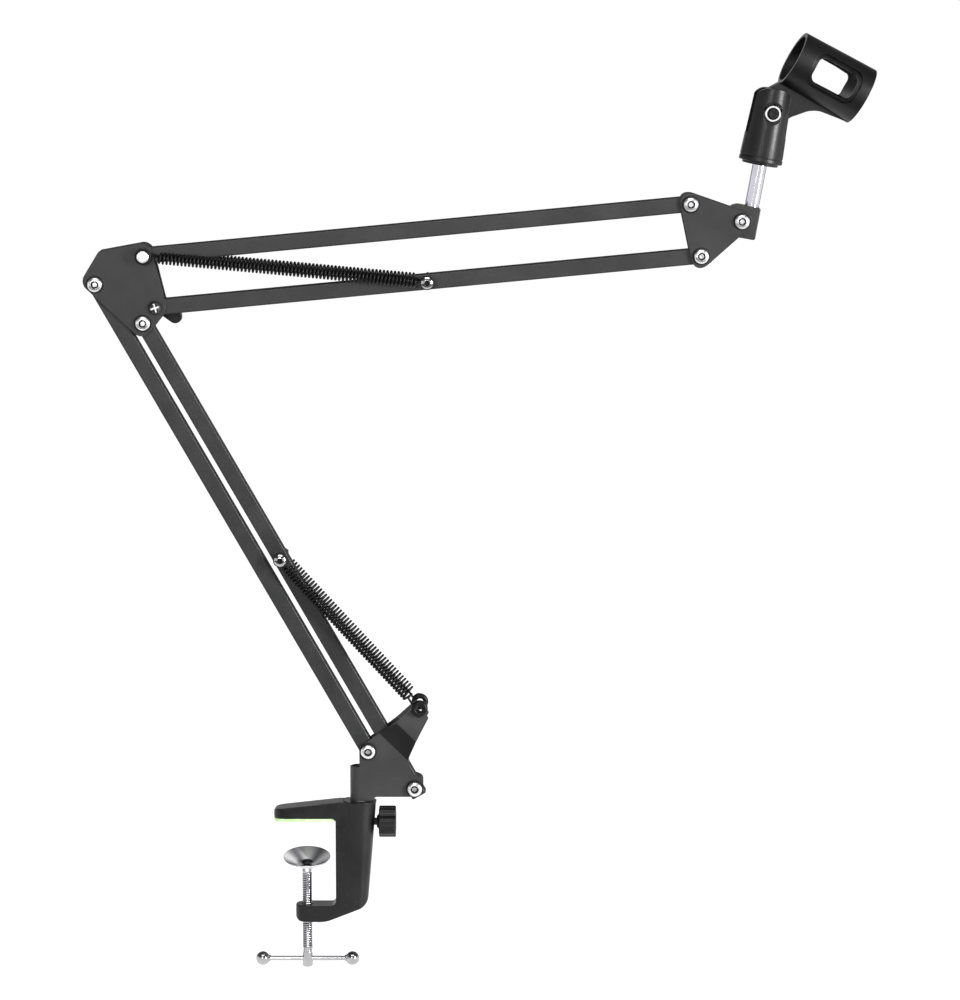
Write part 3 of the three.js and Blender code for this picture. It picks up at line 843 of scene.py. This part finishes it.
def coil_points(start, end, side, hook_start, hook_end):
    """The line of one spring's wire: a loop round the near pin, the coil, and a loop round the far bolt."""
    s = sizes()
    depth = side * 11.0
    axis = Vector((end.x - start.x, 0, end.z - start.z))
    span = axis.length
    axis.normalize()
    up = Vector((-axis.z, 0, axis.x))
    out = Vector((0, 1, 0))
    base = Vector((start.x, depth, start.z))

    def spot(along, lift, deep):
        return base + axis * along + up * lift + out * deep

    def loop(centre, radius, first, last, steps, deep=0.0):
        return [
            spot(centre + radius * math.cos(first + (last - first) * k / steps),
                 radius * math.sin(first + (last - first) * k / steps), side * deep * (k / steps - 1))
            for k in range(steps + 1)
        ]

    coil, pitch = s["coil"], s["coil_pitch"]
    first, last = 9.6, span - hook_end - 3.2
    turns = round((last - first) / pitch)
    per_turn = 18
    points = loop(0, hook_start, math.radians(-400), math.radians(20), 48, -1.4)
    points.append(spot(hook_start + 2.4, coil * 0.45, coil * 0.3))
    for k in range(turns * per_turn + 1):
        angle = math.radians(60) + FULL_TURN * k / per_turn
        ease = min(1.0, 0.55 + k / per_turn, 0.55 + (turns * per_turn - k) / per_turn)
        along = first + (last - first) * k / (turns * per_turn)
        points.append(spot(along, coil * ease * math.cos(angle), coil * ease * math.sin(angle)))
    points.append(spot(span - hook_end - 1.4, coil * 0.35, -coil * 0.3))
    points += loop(span, hook_end, math.radians(160), math.radians(-140), 20)
    return points


def spring_piece(which, start, end, hooks, hook_share=1.0):
    s = sizes()
    for side, word in ((-1, "front"), (1, "rear")):
        bm = wire_path(coil_points(start, end, side, *hooks), s["wire"], thick=47, share=hook_share)
        made = finished(bm, f"{which} spring {word}", "spring", None, [f"{which}_spring_{word}"], None, 60)
        bend_end = start.lerp(end, 0.3)
        tuple(start * MM)
        tuple(bend_end * MM)
        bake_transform(made)


# Clamp


def clamp_frame():
    """The cast C of the clamp, with its flat upper jaw, round column and boss."""
    low, high = reach("clamp_frame")
    swivel = pivot("base_swivel").x
    top, bottom = high.z, low.z
    lip = 1.6
    corners = [
        (-21, 2.3, 1.0), (18.8, 2.3, 2.4), (18.8, -55.3, 3.2), (-7.2, -55.3, 0.8), (-7.2, -65.8, 3.5),
        (12, -66.2, 20), (39.2, -55.5, 8), (45.1, top, 0.4), (23.5, top, 0.4), (-21, 8.3, 2.6),
    ]
    outside = slab(corners, -12, 12)
    plan = prism([(-21, -7.5, 7.4), (swivel, -7.5), (swivel, 7.5), (-21, 7.5, 7.4)], bottom - 2, top - 0.3)
    drop = (top - bottom) * 0.0475
    column = lathe([
        (0, bottom - 2), (10.8 - drop, bottom - 2), (10.5, top - lip - 0.6), (10.8, top - lip), (10.8, top), (0, top),
    ], 96)
    lean = Matrix.Identity(4)
    lean[0][2] = 0.0475 * 0.75
    lean[0][3] = -0.0475 * 0.75 * top
    column = moved(column, Matrix.Translation((swivel, 0, 0)) @ lean)
    bm = combine(plan, ("UNION", column), ("INTERSECT", outside))
    nose = combine(
        block((-12, -9, bottom - 3), (0, 9, -52)), ("DIFFERENCE", rod(7.5, bottom - 4, -50, 96)),
    )
    eye = rod(3.6, bottom - 4, -50)
    seat = rod(5.4, top - 3, top + 2, 64)
    bm = cut(bm, nose, eye, moved(seat, Matrix.Translation((swivel, 0, 0))))
    finished(soften(bm, 0.45, 3, 38), "clamp casting", "casting", "clamp", ["clamp_frame"])


def jaw_pad():
    low, high = reach("jaw_pad")
    corners = [(low.x - 1, -6.8, 6.7), (18.2, -6.8, 1), (18.2, 6.8, 1), (low.x - 1, 6.8, 6.7)]
    bm = soften(prism(corners, low.z, high.z), 0.35, 3, 60)
    # The underside of the pad takes the darker, unlit pad finish: painted shade.
    finished(bm, "jaw pad", "pad", "clamp", ["jaw_pad"], painted_light_finish=("pad_underside_shade", lambda face: face.normal.z < -0.9))


def lock_knob():
    """A fluted plastic knob on the screw that locks the swivel."""
    low, high = reach("lock_knob")
    left, right = 46.6, high.x
    bm = bmesh.new()
    bmesh.ops.create_circle(bm, cap_ends=True, segments=96, radius=1)
    for vert in bm.verts:
        angle = math.atan2(vert.co.y, vert.co.x)
        vert.co *= 8.7 + 1.6 * (0.5 + 0.5 * math.cos(7 * angle)) ** 0.7
    bmesh.ops.translate(bm, vec=(0, 0, left), verts=bm.verts)
    thicken(bm, bm.faces[:], right - left)
    soften(bm, 0.9, 4, 60)
    for end in [f for f in bm.faces if f.normal.z > 0.99 and f.calc_area() > 100]:
        bmesh.ops.inset_individual(bm, faces=[end], thickness=1.6)
        bmesh.ops.inset_individual(bm, faces=[end], thickness=0.5, depth=-0.6)
        bmesh.ops.inset_individual(bm, faces=[end], thickness=3.0, depth=0.3)
    neck = lathe([(0, low.x), (4, low.x), (4, left - 0.9), (5.6, left + 0.2), (5.6, left + 1), (0, left + 1)])
    bm = moved(together(bm, soften(neck, 0.2, 2, 40)), Matrix.Translation((0, 0, middle("lock_screw").z)) @ UP_TO_RIGHT)
    finished(bm, "lock knob", "plastic", "lock_knob", ["lock_knob"])
    low, high = reach("lock_screw")
    stud = moved(threaded(2.5, 0.8, low.x + 0.4, high.x, 0.28), Matrix.Translation(
        (0, 0, middle("lock_screw").z)) @ UP_TO_RIGHT)
    finished(stud, "lock screw", "coat", "lock_knob", ["lock_screw"], None, 50)


def threaded(radius, pitch, low, high, depth, per_turn=32):
    """A threaded rod about Z: a V thread wound over a core with plain ends."""
    turns = math.floor((high - low) / pitch) - 2
    start = (low + high - turns * pitch) / 2 - pitch / 2
    bm = bmesh.new()
    heights = (0, 0.36, 0.5, 0.64, 1)
    radii = (radius - depth, radius - 0.05, radius, radius - 0.05, radius - depth)
    verts = [bm.verts.new((r, 0, start + h * pitch)) for r, h in zip(radii, heights)]
    edges = [bm.edges.new(pair) for pair in zip(verts, verts[1:])]
    bmesh.ops.spin(
        bm, geom=verts + edges, cent=(0, 0, 0), axis=(0, 0, 1), dvec=(0, 0, pitch / per_turn),
        angle=FULL_TURN * turns, steps=per_turn * turns, use_merge=False,
    )
    bmesh.ops.remove_doubles(bm, verts=bm.verts, dist=1e-3)
    bmesh.ops.holes_fill(bm, edges=[e for e in bm.edges if e.is_boundary], sides=0)
    core = radius - depth
    shank = lathe([(0, low), (core - 0.5, low), (core, low + 0.5), (core, high - 0.5), (core - 0.5, high), (0, high)])
    return together(bm, shank)


def clamp_screw():
    """The threaded screw with its plain cross-drilled end."""
    low, high = reach("clamp_screw")
    pitch = sizes()["thread_pitch"]
    collar = -86.5
    thread = threaded(3.25, pitch, collar, high.z, 0.5)
    plain = lathe([
        (0, low.z), (2.7, low.z), (3.25, low.z + 0.5), (3.25, collar - 1.6), (2.9, collar - 0.9),
        (2.9, collar + 0.6), (0, collar + 0.6),
    ])
    eye = moved(rod(1.75, -6, 6, 32), Matrix.Translation((0, 0, middle("tommy_bar").z)) @ UP_TO_RIGHT)
    bm = together(thread, soften(cut(plain, eye), 0.12, 2, 45))
    finished(bm, "clamp screw", "steel", "clamp_screw", ["clamp_screw"], None, 50)


def screw_end():
    low, high = reach("screw_tip")
    under = high.z - 1.8
    tip = lathe([
        (0, low.z), (2, low.z), (2, under), (3.9, under), (3.85, under + 0.4), (3.4, under + 1.1),
        (2.6, under + 1.6), (1.4, high.z), (0, high.z),
    ])
    finished(soften(tip, 0.08, 1, 60), "screw rivet", "casting", "screw_tip", ["screw_tip"])
    tilt = Matrix.Translation(pivot("cup_rock")) @ Matrix.Rotation(math.radians(12), 4, "X")
    cup = lathe([
        (2.5, -0.6), (2.5, -4.6), (3.3, -4.6), (3.3, -1.4), (5.0, -0.6), (5.9, -0.2), (14.9, 5.5), (15.2, 5.9), (15.1, 6.25), (14.7, 6.3), (14.2, 6.0),
        (5.4, 0.75), (4.7, 0.6), (2.5, 0.6), (2.5, -0.6),
    ], 96)
    finished(cup, "pressure cup", "spun", "pressure_cup", ["pressure_cup"], tilt, 50)


def tommy_bar():
    low, high = reach("tommy_bar")
    height = Matrix.Translation((0, 0, middle("tommy_bar").z)) @ UP_TO_RIGHT
    bar = lathe([(0, low.x), (1.1, low.x), (1.5, low.x + 0.4), (1.5, high.x - 0.4), (1.1, high.x), (0, high.x)])
    finished(bar, "tommy bar", "steel", "tommy_bar", ["tommy_bar"], height)
    for side, word in ((-1, "left"), (1, "right")):
        arc = [(4.5 * math.sin(a), -4.5 * math.cos(a)) for a in (math.radians(32 + 7 * k) for k in range(21))]
        ball = lathe([(0, -5), (1.9, -5), (2.2, -4.7), (2.2, -3.95), *arc, (0, 4.5)])
        turn = Matrix.Rotation(math.pi, 4, "Y") if side < 0 else Matrix()
        place = height @ Matrix.Translation((0, 0, side * 29)) @ turn
        finished(ball, f"tommy bar ball {word}", "steel", "tommy_bar", [f"tommy_bar_ball_{word}"], place, 50)


# Base


def base_sheet():
    """The base: one sheet folded round the swivel, with two flared tabs for the springs."""
    s = sizes()
    swivel = pivot("base_swivel").x
    mid, thick = s["plate_gap"] + s["sheet"] / 2, s["sheet"]
    low, high = 13.6, 35.7
    corner, crease_low = (47.1, 58.3), (65.4, 40.6)
    bm = bmesh.new()
    face = [
        (swivel, low), (41.5, low, 2), (44.5, 16.4, 3), (75.2, 16.4, 5.1), (75.2, 28.6, 3.4), (68.2, 31.4, 4),
        crease_low, corner, (swivel, 48.9, 1.5), (swivel, high),
    ]
    outline(bm, face)
    direction = Vector((math.cos(math.radians(45.9)), math.sin(math.radians(45.9))))
    across = Vector((-direction.y, direction.x))

    def tab(n, t, out):
        spot = Vector(corner) + direction * n + across * t
        return spot.x, spot.y, out

    flare = 4.2
    near = [bm.verts.new((*crease_low, 0)), bm.verts.new((*corner, 0))]
    bend = [bm.verts.new(tab(13, -2.6, flare)), bm.verts.new(tab(13, -20.4, flare))]
    tips = [bm.verts.new(tab(30.1, -15.3, flare - 0.9)), bm.verts.new(tab(28.8, -3.5, flare - 0.9))]
    bm.faces.new([near[0], bend[1], bend[0], near[1]])
    bm.faces.new([bend[1], tips[0], tips[1], bend[0]])
    for tip in tips:
        bmesh.ops.bevel(bm, geom=[tip], offset=0.9, offset_type="OFFSET", affect="VERTICES", segments=5,
                        profile=0.5, material=-1, clamp_overlap=False)
    bmesh.ops.transform(bm, matrix=Matrix.Translation((0, -mid, 0)) @ TO_FRONT, verts=bm.verts)
    bmesh.ops.remove_doubles(bm, verts=bm.verts, dist=1e-3)
    creases = [e for e in bm.edges if e.is_manifold and e.calc_face_angle(0) > 0.1]
    bmesh.ops.bevel(bm, geom=creases, offset=1.6, offset_type="OFFSET", affect="EDGES", segments=4, profile=0.5,
                    material=-1, clamp_overlap=False)
    other = bmesh.ops.duplicate(bm, geom=bm.verts[:] + bm.edges[:] + bm.faces[:])["geom"]
    bmesh.ops.scale(bm, vec=(1, -1, 1), verts=[v for v in other if isinstance(v, bmesh.types.BMVert)])
    fold = [
        e for e in bm.edges
        if e.is_boundary and all(abs(v.co.x - swivel) < 1e-3 and v.co.z < high + 0.01 and v.co.y < 0 for v in e.verts)
    ]
    ends = list({v for e in fold for v in e.verts})
    bmesh.ops.spin(bm, geom=fold + ends, cent=(swivel, 0, 0), axis=(0, 0, 1), angle=-math.pi, steps=24,
                   use_merge=False)
    bmesh.ops.remove_doubles(bm, verts=bm.verts, dist=1e-2)
    bmesh.ops.recalc_face_normals(bm, faces=bm.faces)
    bmesh.ops.solidify(bm, geom=bm.faces[:], thickness=thick)
    bmesh.ops.recalc_face_normals(bm, faces=bm.faces)
    low_corner, high_corner = reach("base_bracket")
    shift = (low_corner.y + high_corner.y) / 2 - (min(v.co.y for v in bm.verts) + max(v.co.y for v in bm.verts)) / 2
    bmesh.ops.translate(bm, vec=(0, shift, 0), verts=bm.verts)
    rise = Vector((direction.x, 0, direction.y))

    # The flared part of each tab, which bends away from the light, takes the darker coat: painted shade.
    def on_the_flare(face):
        spot = face.calc_center_median()
        return spot.x > corner[0] and 0.12 < abs(face.normal.dot(rise)) < 0.5 and abs(face.normal.y) > 0.8

    hole = tab(26.7, -9.6, 0)
    drill = moved(facing(rod(1.7, -20, 20, 32)), Matrix.Translation((hole[0], 0, hole[1])))
    finished(soften(cut(bm, drill), 0.25, 2, 55), "base bracket", "sheet", "base", ["base_bracket"],
             painted_light_finish=("painted_shade", on_the_flare))


def swivel_pin():
    low, high = reach("swivel_pin")
    bm = lathe([
        (0, low.z), (4.4, low.z), (5, low.z + 0.8), (5, -3), (4.5, -2.4), (4.5, 0.6), (5, 1.2), (5, high.z - 0.8),
        (4.4, high.z), (1.4, high.z), (0.9, high.z - 0.7), (0, high.z - 0.7),
    ], 64)
    # The top of the pin takes the darker coat: painted shade.
    finished(bm, "swivel pin", "plated", "base", ["swivel_pin"], Matrix.Translation((pivot("base_swivel").x, 0, 0)),
             painted_light_finish=("painted_shade", lambda face: face.calc_center_median().z > high.z - 2))


# Head and clip


def tilt_block():
    """The block between the head plates that carries the post."""
    lean = math.degrees(math.atan2(*[frame_axis("clip_swivel")[i] for i in (0, 2)]))
    half = 5.1
    corners = [(-11, -10.4, 8), (10.3, -10.4, 1.4), (10.3, 10.2, 1.4), (-11, 10.2, 8)]
    bm = soften(slab(corners, -half, half), 0.55, 3, 60)
    socket = moved(rod(4.75, 4, 14, 64), Matrix.Translation((4.7, 0, 0)))
    finished(cut(bm, socket), "tilt block", "coat", "tilt", ["tilt_block"], at(pivot("head_tilt"), -lean))
    post = lathe([
        (0, 4.1), (4.2, 4.1), (4.6, 4.5), (4.6, 10.9), (4.35, 11.15), (4.35, 11.5), (4.6, 11.75), (4.6, 51.2),
        (4.1, 52), (0, 52),
    ], 72)
    finished(post, "post", "chrome", "tilt", ["post"], at(pivot("head_tilt"), -lean) @ Matrix.Translation((4.7, 0, 0)))


def frame_axis(joint):
    return next(Vector(j["axis"]) for j in frame["joints"] if j["name"] == joint)


def up_the_post():
    """A place at the post's foot whose +Z runs up the post."""
    axis = frame_axis("clip_swivel")
    upright = at(pivot("clip_swivel"), -math.degrees(math.atan2(axis.x, axis.z)))
    return upright @ Matrix.Rotation(bpy.context.scene.arm_sizes.clip_turn, 4, "Z")


def clip_yoke():
    """The forked body that screws onto the post and holds the barrel's tongue."""
    bottom, top, hinge, slot = 38.4, 84.8, 69.6, 4.6
    body = lathe([
        (0, bottom - 1.8), (11.0, bottom - 1.8), (11.4, bottom - 1.4), (11.4, bottom - 0.1), (13.3, bottom - 0.1),
        (13.8, bottom + 0.4), (13.7, bottom + 2.6), (13.35, bottom + 3.0), (13.35, bottom + 3.4), (13.6, bottom + 3.8),
        (11.8, top + 2), (0, top + 2),
    ], 96)
    crown = slab([(-16, 30), (16, 30), (12.4, top, 10.5), (-12.4, top, 10.5)], -20, 20)
    gap = block((-20, -slot, hinge - 14), (20, slot, top + 5))
    pivot_hole = moved(facing(rod(3.3, -20, 20)), Matrix.Translation((0, 0, hinge)))
    nut_seat = moved(facing(hexagon(6.2, 8.2, 20)), Matrix.Translation((0, 0, hinge)))
    nut_ring = moved(facing(rod(6.9, 11.2, 20, 64)), Matrix.Translation((0, 0, hinge)))
    head_seat = moved(facing(rod(5.8, -20, -8.2, 64)), Matrix.Translation((0, 0, hinge)))
    bore = rod(8.3, bottom - 5, bottom + 12.3, 64)
    core = rod(5.2, bottom, hinge - 13, 48)
    bm = combine(body, ("INTERSECT", crown))
    bm = cut(bm, gap, pivot_hole, nut_seat, nut_ring, head_seat, bore, core)
    finished(soften(bm, 0.3, 2, 38), "clip yoke", "plastic", "clip_yoke", ["clip_yoke"], up_the_post())


def clip_metal():
    """The brass insert, and the bolt and nut through the clip's pivot."""
    bottom, hinge = 38.4, 69.6
    low, high = bottom - 1.4, bottom + 12
    sleeve = lathe([
        (4.9, low), (7.6, low), (8, low + 0.4), (8, high - 0.4), (7.6, high), (4.9, high), (4.9, low),
    ], 72)
    finished(sleeve, "thread insert", "brass", "clip_yoke", ["thread_insert"], up_the_post())
    place = up_the_post() @ Matrix.Translation((0, 0, hinge)) @ TO_FRONT
    bolt = lathe([
        (0, 12.5), (1.0, 12.55), (1.3, 12.8), (2.6, 12.8), (3, 12.4), (3, -8.5), (5.4, -8.5), (5.4, -10.2),
        (4.9, -11.1), (3.8, -11.6), (0, -11.6),
    ], 64)
    # The end of the bolt inside the nut takes the darker coat: painted shade in the hole.
    finished(soften(bolt, 0.08, 1, 60), "clip bolt", "plated", "clip_yoke", ["clip_bolt"], place,
             painted_light_finish=("painted_shade", lambda face: face.calc_center_median().z > 12))
    nut = lathe([(3.05, 0), (5.25, 0), (5.25, 3.3), (4.8, 3.9), (3.9, 3.9), (3.5, 3.2), (3.05, 3.2), (3.05, 0)], 64)
    # The nut's face round its hole takes the darker coat: painted shade.
    finished(nut, "clip nut", "plated", "clip_yoke", ["clip_nut"], place @ Matrix.Translation((0, 0, 8.5)),
             painted_light_finish=("painted_shade", lambda face: max(math.hypot(v.co.x, v.co.y) for v in face.verts) < 4.2))


def clip_barrel():
    """The tapered barrel that grips a microphone, on its tongue, with a framed window each side."""
    left, right, axis, wall = -3.8, 46.4, 36.5, 2.6
    left_r, right_r = 17.9, 18.7

    def cone(r0, r1, x0, x1):
        return moved(lathe([(0, x0), (r0, x0), (r1, x1), (0, x1)], 112), Matrix.Translation((0, 0, axis)) @ UP_TO_RIGHT)

    def window(length_, height, radius):
        mid, level, a, b = 22.9, axis + 0.9, length_ / 2, height / 2
        return slab([
            (mid - a, level - b, radius), (mid + a, level - b, radius), (mid + a, level + b, radius),
            (mid - a, level + b, radius),
        ], -30, 30)

    tongue = slab([
        (-10, -10, 9.8), (9.4, -10, 9), (11.4, 2.5, 9), (23, 15.2, 16), (45, 18.2), (45, 21), (-3, 21), (-8.4, 13),
        (-10, 6, 2),
    ], -4.2, 4.2)
    ring = combine(window(33, 22.4, 6), ("DIFFERENCE", cone(left_r - 1.2, right_r - 1.2, left - 1, right + 1)))
    bm = combine(cone(left_r, right_r, left, right), ("UNION", tongue))
    bm = cut(
        bm, cone(left_r - wall, right_r - wall, left - 1, right + 1), ring, window(28, 16.4, 4.5),
        facing(rod(3.3, -9, 9)),
    )
    lean = math.degrees(bpy.context.scene.arm_sizes.clip_lean)
    finished(soften(bm, 0.3, 2, 38), "clip barrel", "plastic", "clip_barrel", ["clip_barrel"],
             up_the_post() @ at(Vector((0, 0, 69.6)), lean))


# Studio


def area_light(name, place, aim, size, power):
    data = bpy.data.lights.new(name, "AREA")
    data.shape, data.size, data.size_y, data.energy = "RECTANGLE", size[0], size[1], power
    lamp = bpy.data.objects.new(name, data)
    bpy.context.scene.collection.objects.link(lamp)
    lamp.location = place
    lamp.rotation_euler = (Vector(aim) - Vector(place)).to_track_quat("-Z", "Y").to_euler()
    return lamp


def dark_card(name, low, high):
    """A grey board out of view, so that chrome and plastic have something dark to mirror."""
    bm = soften(block(Vector(low) / MM, Vector(high) / MM), 4, 2)
    finish = Finish("grey card")
    grain = finish.noise(9, detail=2)
    material = finish.shade(
        base_color=finish.blend(grain, (0.13, 0.13, 0.13), (0.17, 0.17, 0.17)), roughness=0.9 + grain * 0.05
    )
    moved(bm, Matrix.Scale(MM, 4))
    made = loose(bm, name)
    made.data.materials.append(material)
    made.visible_camera = False
    made.visible_shadow = False
    return made


def sky(world):
    """White near the horizon and dim overhead, so that edges that look up stay dark."""
    graph = Graph(world)
    direction = graph.add("TexCoord").outputs["Generated"]
    up = Value(graph, graph.add("SeparateXYZ", None, {"Vector": direction}).outputs["Z"])
    light = graph.blend(up.within(0.2, 0.36), (1, 1, 1), (0.1, 0.1, 0.1))
    backdrop = graph.add("Background", None, {"Color": light, "Strength": 1.0})
    graph.add("OutputWorld", None, {"Surface": backdrop.outputs["Background"]})


def studio():
    scene = bpy.context.scene
    low = cad_bounds[0]
    bm = bmesh.new()
    bmesh.ops.create_grid(bm, x_segments=8, y_segments=8, size=120)
    bmesh.ops.translate(bm, vec=(0, 0, low[2] - 0.0005), verts=bm.verts)
    floor = loose(bm, "studio floor")
    floor.data.materials.append(finish_of("floor"))
    cards = [
        dark_card("card left", (-2.6, 1.6, -0.1), (-0.9, 1.65, 1.6)),
        dark_card("card right", (1.0, 1.6, -0.1), (2.6, 1.65, 1.6)),
        dark_card("card front", (-1.6, -2.6, -0.095), (1.9, -0.3, -0.09)),
    ]
    lamps = [
        area_light("key", (-0.35, -2.7, 0.95), (0.05, 0, 0.25), (0.4, 0.8), 16),
        area_light("strip", (2.05, -1.5, 0.35), (0.05, 0, 0.1), (0.2, 1.6), 110),
        area_light("top", (0.1, -1.5, 2.4), (0.1, 0, 0.2), (2.0, 0.8), 22),
    ]
    scene.world = bpy.data.worlds.new("studio")
    sky(scene.world)
    scene.view_settings.view_transform = "Standard"
    data = bpy.data.cameras.new("camera")
    data.sensor_width, data.lens, data.clip_end = 36, 129.6, 400
    camera = bpy.data.objects.new("camera", data)
    scene.collection.objects.link(camera)
    camera.location = (0.1117, -2.265, 0.5469)
    camera.rotation_euler = (math.radians(90 - 8.5), 0, 0)
    scene.camera = camera


# Operators


class ARM_OT_tubes(bpy.types.Operator):
    """Builds the four square tubes of the two parallel linkages"""

    bl_idname = "arm.tubes"
    bl_label = "Square tubes"

    def execute(self, context):
        base_right, elbow_right = pivot("lower_follow"), flat(middle("elbow_right_bolt"))
        head_lower = flat(middle("head_lower_bolt"))
        tube_piece("lower tube left", "lower_tube_left", "lower_left", pivot("lower_arm"), pivot("elbow_level"))
        tube_piece("lower tube right", "lower_tube_right", "lower_right", elbow_right, base_right, True)
        tube_piece("upper tube top", "upper_tube_top", "upper_top", pivot("upper_arm"), pivot("head_level"))
        tube_piece("upper tube bottom", "upper_tube_bottom", "upper_bottom", pivot("upper_follow"), head_lower, True)
        return {"FINISHED"}


class ARM_OT_plates(bpy.types.Operator):
    """Builds the elbow plates and the head plates"""

    bl_idname = "arm.plates"
    bl_label = "Elbow and head plates"

    def execute(self, context):
        elbow = [(-9.6, 0.9, 6.5), (29.6, -36, 7), (45.4, -16.2, 8), (34.9, 26.9, 6.5), (2.6, 20.9, 2.5)]
        sheet_pair("elbow plate", ("elbow_plate_front", "elbow_plate_rear"), "elbow", elbow, pivot("elbow_level"))
        upper = pivot("head_level")
        lower, tilt = flat(middle("head_lower_bolt")) - upper, pivot("head_tilt") - upper
        head = around([(0, 0, 6.8), (lower.x, lower.z, 6.8), (tilt.x, tilt.z, 6.3)])
        sheet_pair("head plate", ("head_plate_front", "head_plate_rear"), "head", head, upper)
        return {"FINISHED"}


class ARM_OT_base(bpy.types.Operator):
    """Builds the folded base and the pin that it swivels on"""

    bl_idname = "arm.base"
    bl_label = "Base and swivel"

    def execute(self, context):
        base_sheet()
        swivel_pin()
        return {"FINISHED"}


class ARM_OT_clamp(bpy.types.Operator):
    """Builds the clamp's casting, its pad and the lock knob"""

    bl_idname = "arm.clamp"
    bl_label = "Clamp"

    def execute(self, context):
        clamp_frame()
        jaw_pad()
        lock_knob()
        return {"FINISHED"}


class ARM_OT_screw(bpy.types.Operator):
    """Builds the clamp screw with its cup, rivet and tommy bar"""

    bl_idname = "arm.screw"
    bl_label = "Clamp screw"

    def execute(self, context):
        clamp_screw()
        screw_end()
        tommy_bar()
        return {"FINISHED"}


class ARM_OT_fasteners(bpy.types.Operator):
    """Builds the button bolts, the washers of painted shadow under them, and the nuts at the seven pivots"""

    bl_idname = "arm.fasteners"
    bl_label = "Pivot fasteners"

    def execute(self, context):
        pivot_fasteners()
        return {"FINISHED"}


class ARM_OT_spring_fasteners(bpy.types.Operator):
    """Builds the spring bolts, the spring pin, the tension bolt and its wing nut"""

    bl_idname = "arm.spring_fasteners"
    bl_label = "Spring fasteners"

    def execute(self, context):
        spring_fasteners("lower", "lower_right")
        spring_fasteners("upper", "upper_bottom")
        spring_pin()
        tension_bolt()
        wing_nut()
        return {"FINISHED"}


class ARM_OT_springs(bpy.types.Operator):
    """Winds the four balancing springs"""

    bl_idname = "arm.springs"
    bl_label = "Springs"

    def execute(self, context):
        upper, lower = pivot("upper_arm"), Vector((73, 0, 75.4))
        spring_piece("upper", upper, flat(middle("upper_spring_bolt")), (4.45, 3.2))
        spring_piece("lower", lower, flat(middle("lower_spring_bolt")), (3.7, 3.2), 2.4)
        return {"FINISHED"}


class ARM_OT_head(bpy.types.Operator):
    """Builds the tilting block and the chrome post"""

    bl_idname = "arm.head"
    bl_label = "Tilt block and post"

    def execute(self, context):
        tilt_block()
        return {"FINISHED"}


class ARM_OT_clip(bpy.types.Operator):
    """Builds the microphone clip with its yoke, insert, bolt and barrel"""

    bl_idname = "arm.clip"
    bl_label = "Microphone clip"

    def execute(self, context):
        clip_yoke()
        clip_metal()
        clip_barrel()
        return {"FINISHED"}


class ARM_OT_studio(bpy.types.Operator):
    """Sets up the floor, the lights and the camera"""

    bl_idname = "arm.studio"
    bl_label = "Studio"

    def execute(self, context):
        studio()
        return {"FINISHED"}


OPERATORS = [
    ARM_OT_tubes, ARM_OT_plates, ARM_OT_base, ARM_OT_clamp, ARM_OT_screw, ARM_OT_fasteners,
    ARM_OT_spring_fasteners, ARM_OT_springs, ARM_OT_head, ARM_OT_clip, ARM_OT_studio,
]


class ARM_PT_panel(bpy.types.Panel):
    """Lists the pieces of the boom arm"""

    bl_idname = "ARM_PT_panel"
    bl_label = "Boom arm"
    bl_space_type = "VIEW_3D"
    bl_region_type = "UI"
    bl_category = "Boom arm"

    def draw(self, context):
        layout = self.layout
        for operator in OPERATORS:
            layout.operator(operator.bl_idname)
        for group in (context.scene.arm_sizes, context.scene.arm_colours):
            column = layout.column()
            for name in type(group).__annotations__:
                column.prop(group, name)


CLASSES = [ArmSizes, ArmColours, *OPERATORS, ARM_PT_panel]


def register():
    for cls in CLASSES:
        bpy.utils.register_class(cls)
    bpy.types.Scene.arm_sizes = bpy.props.PointerProperty(type=ArmSizes)
    bpy.types.Scene.arm_colours = bpy.props.PointerProperty(type=ArmColours)


def unregister():
    del bpy.types.Scene.arm_colours
    del bpy.types.Scene.arm_sizes
    for cls in reversed(CLASSES):
        bpy.utils.unregister_class(cls)


def main():
    register()
    for operator in OPERATORS:
        group, name = operator.bl_idname.split(".")
        getattr(getattr(bpy.ops, group), name)()


if __name__ == "__main__":
    main()
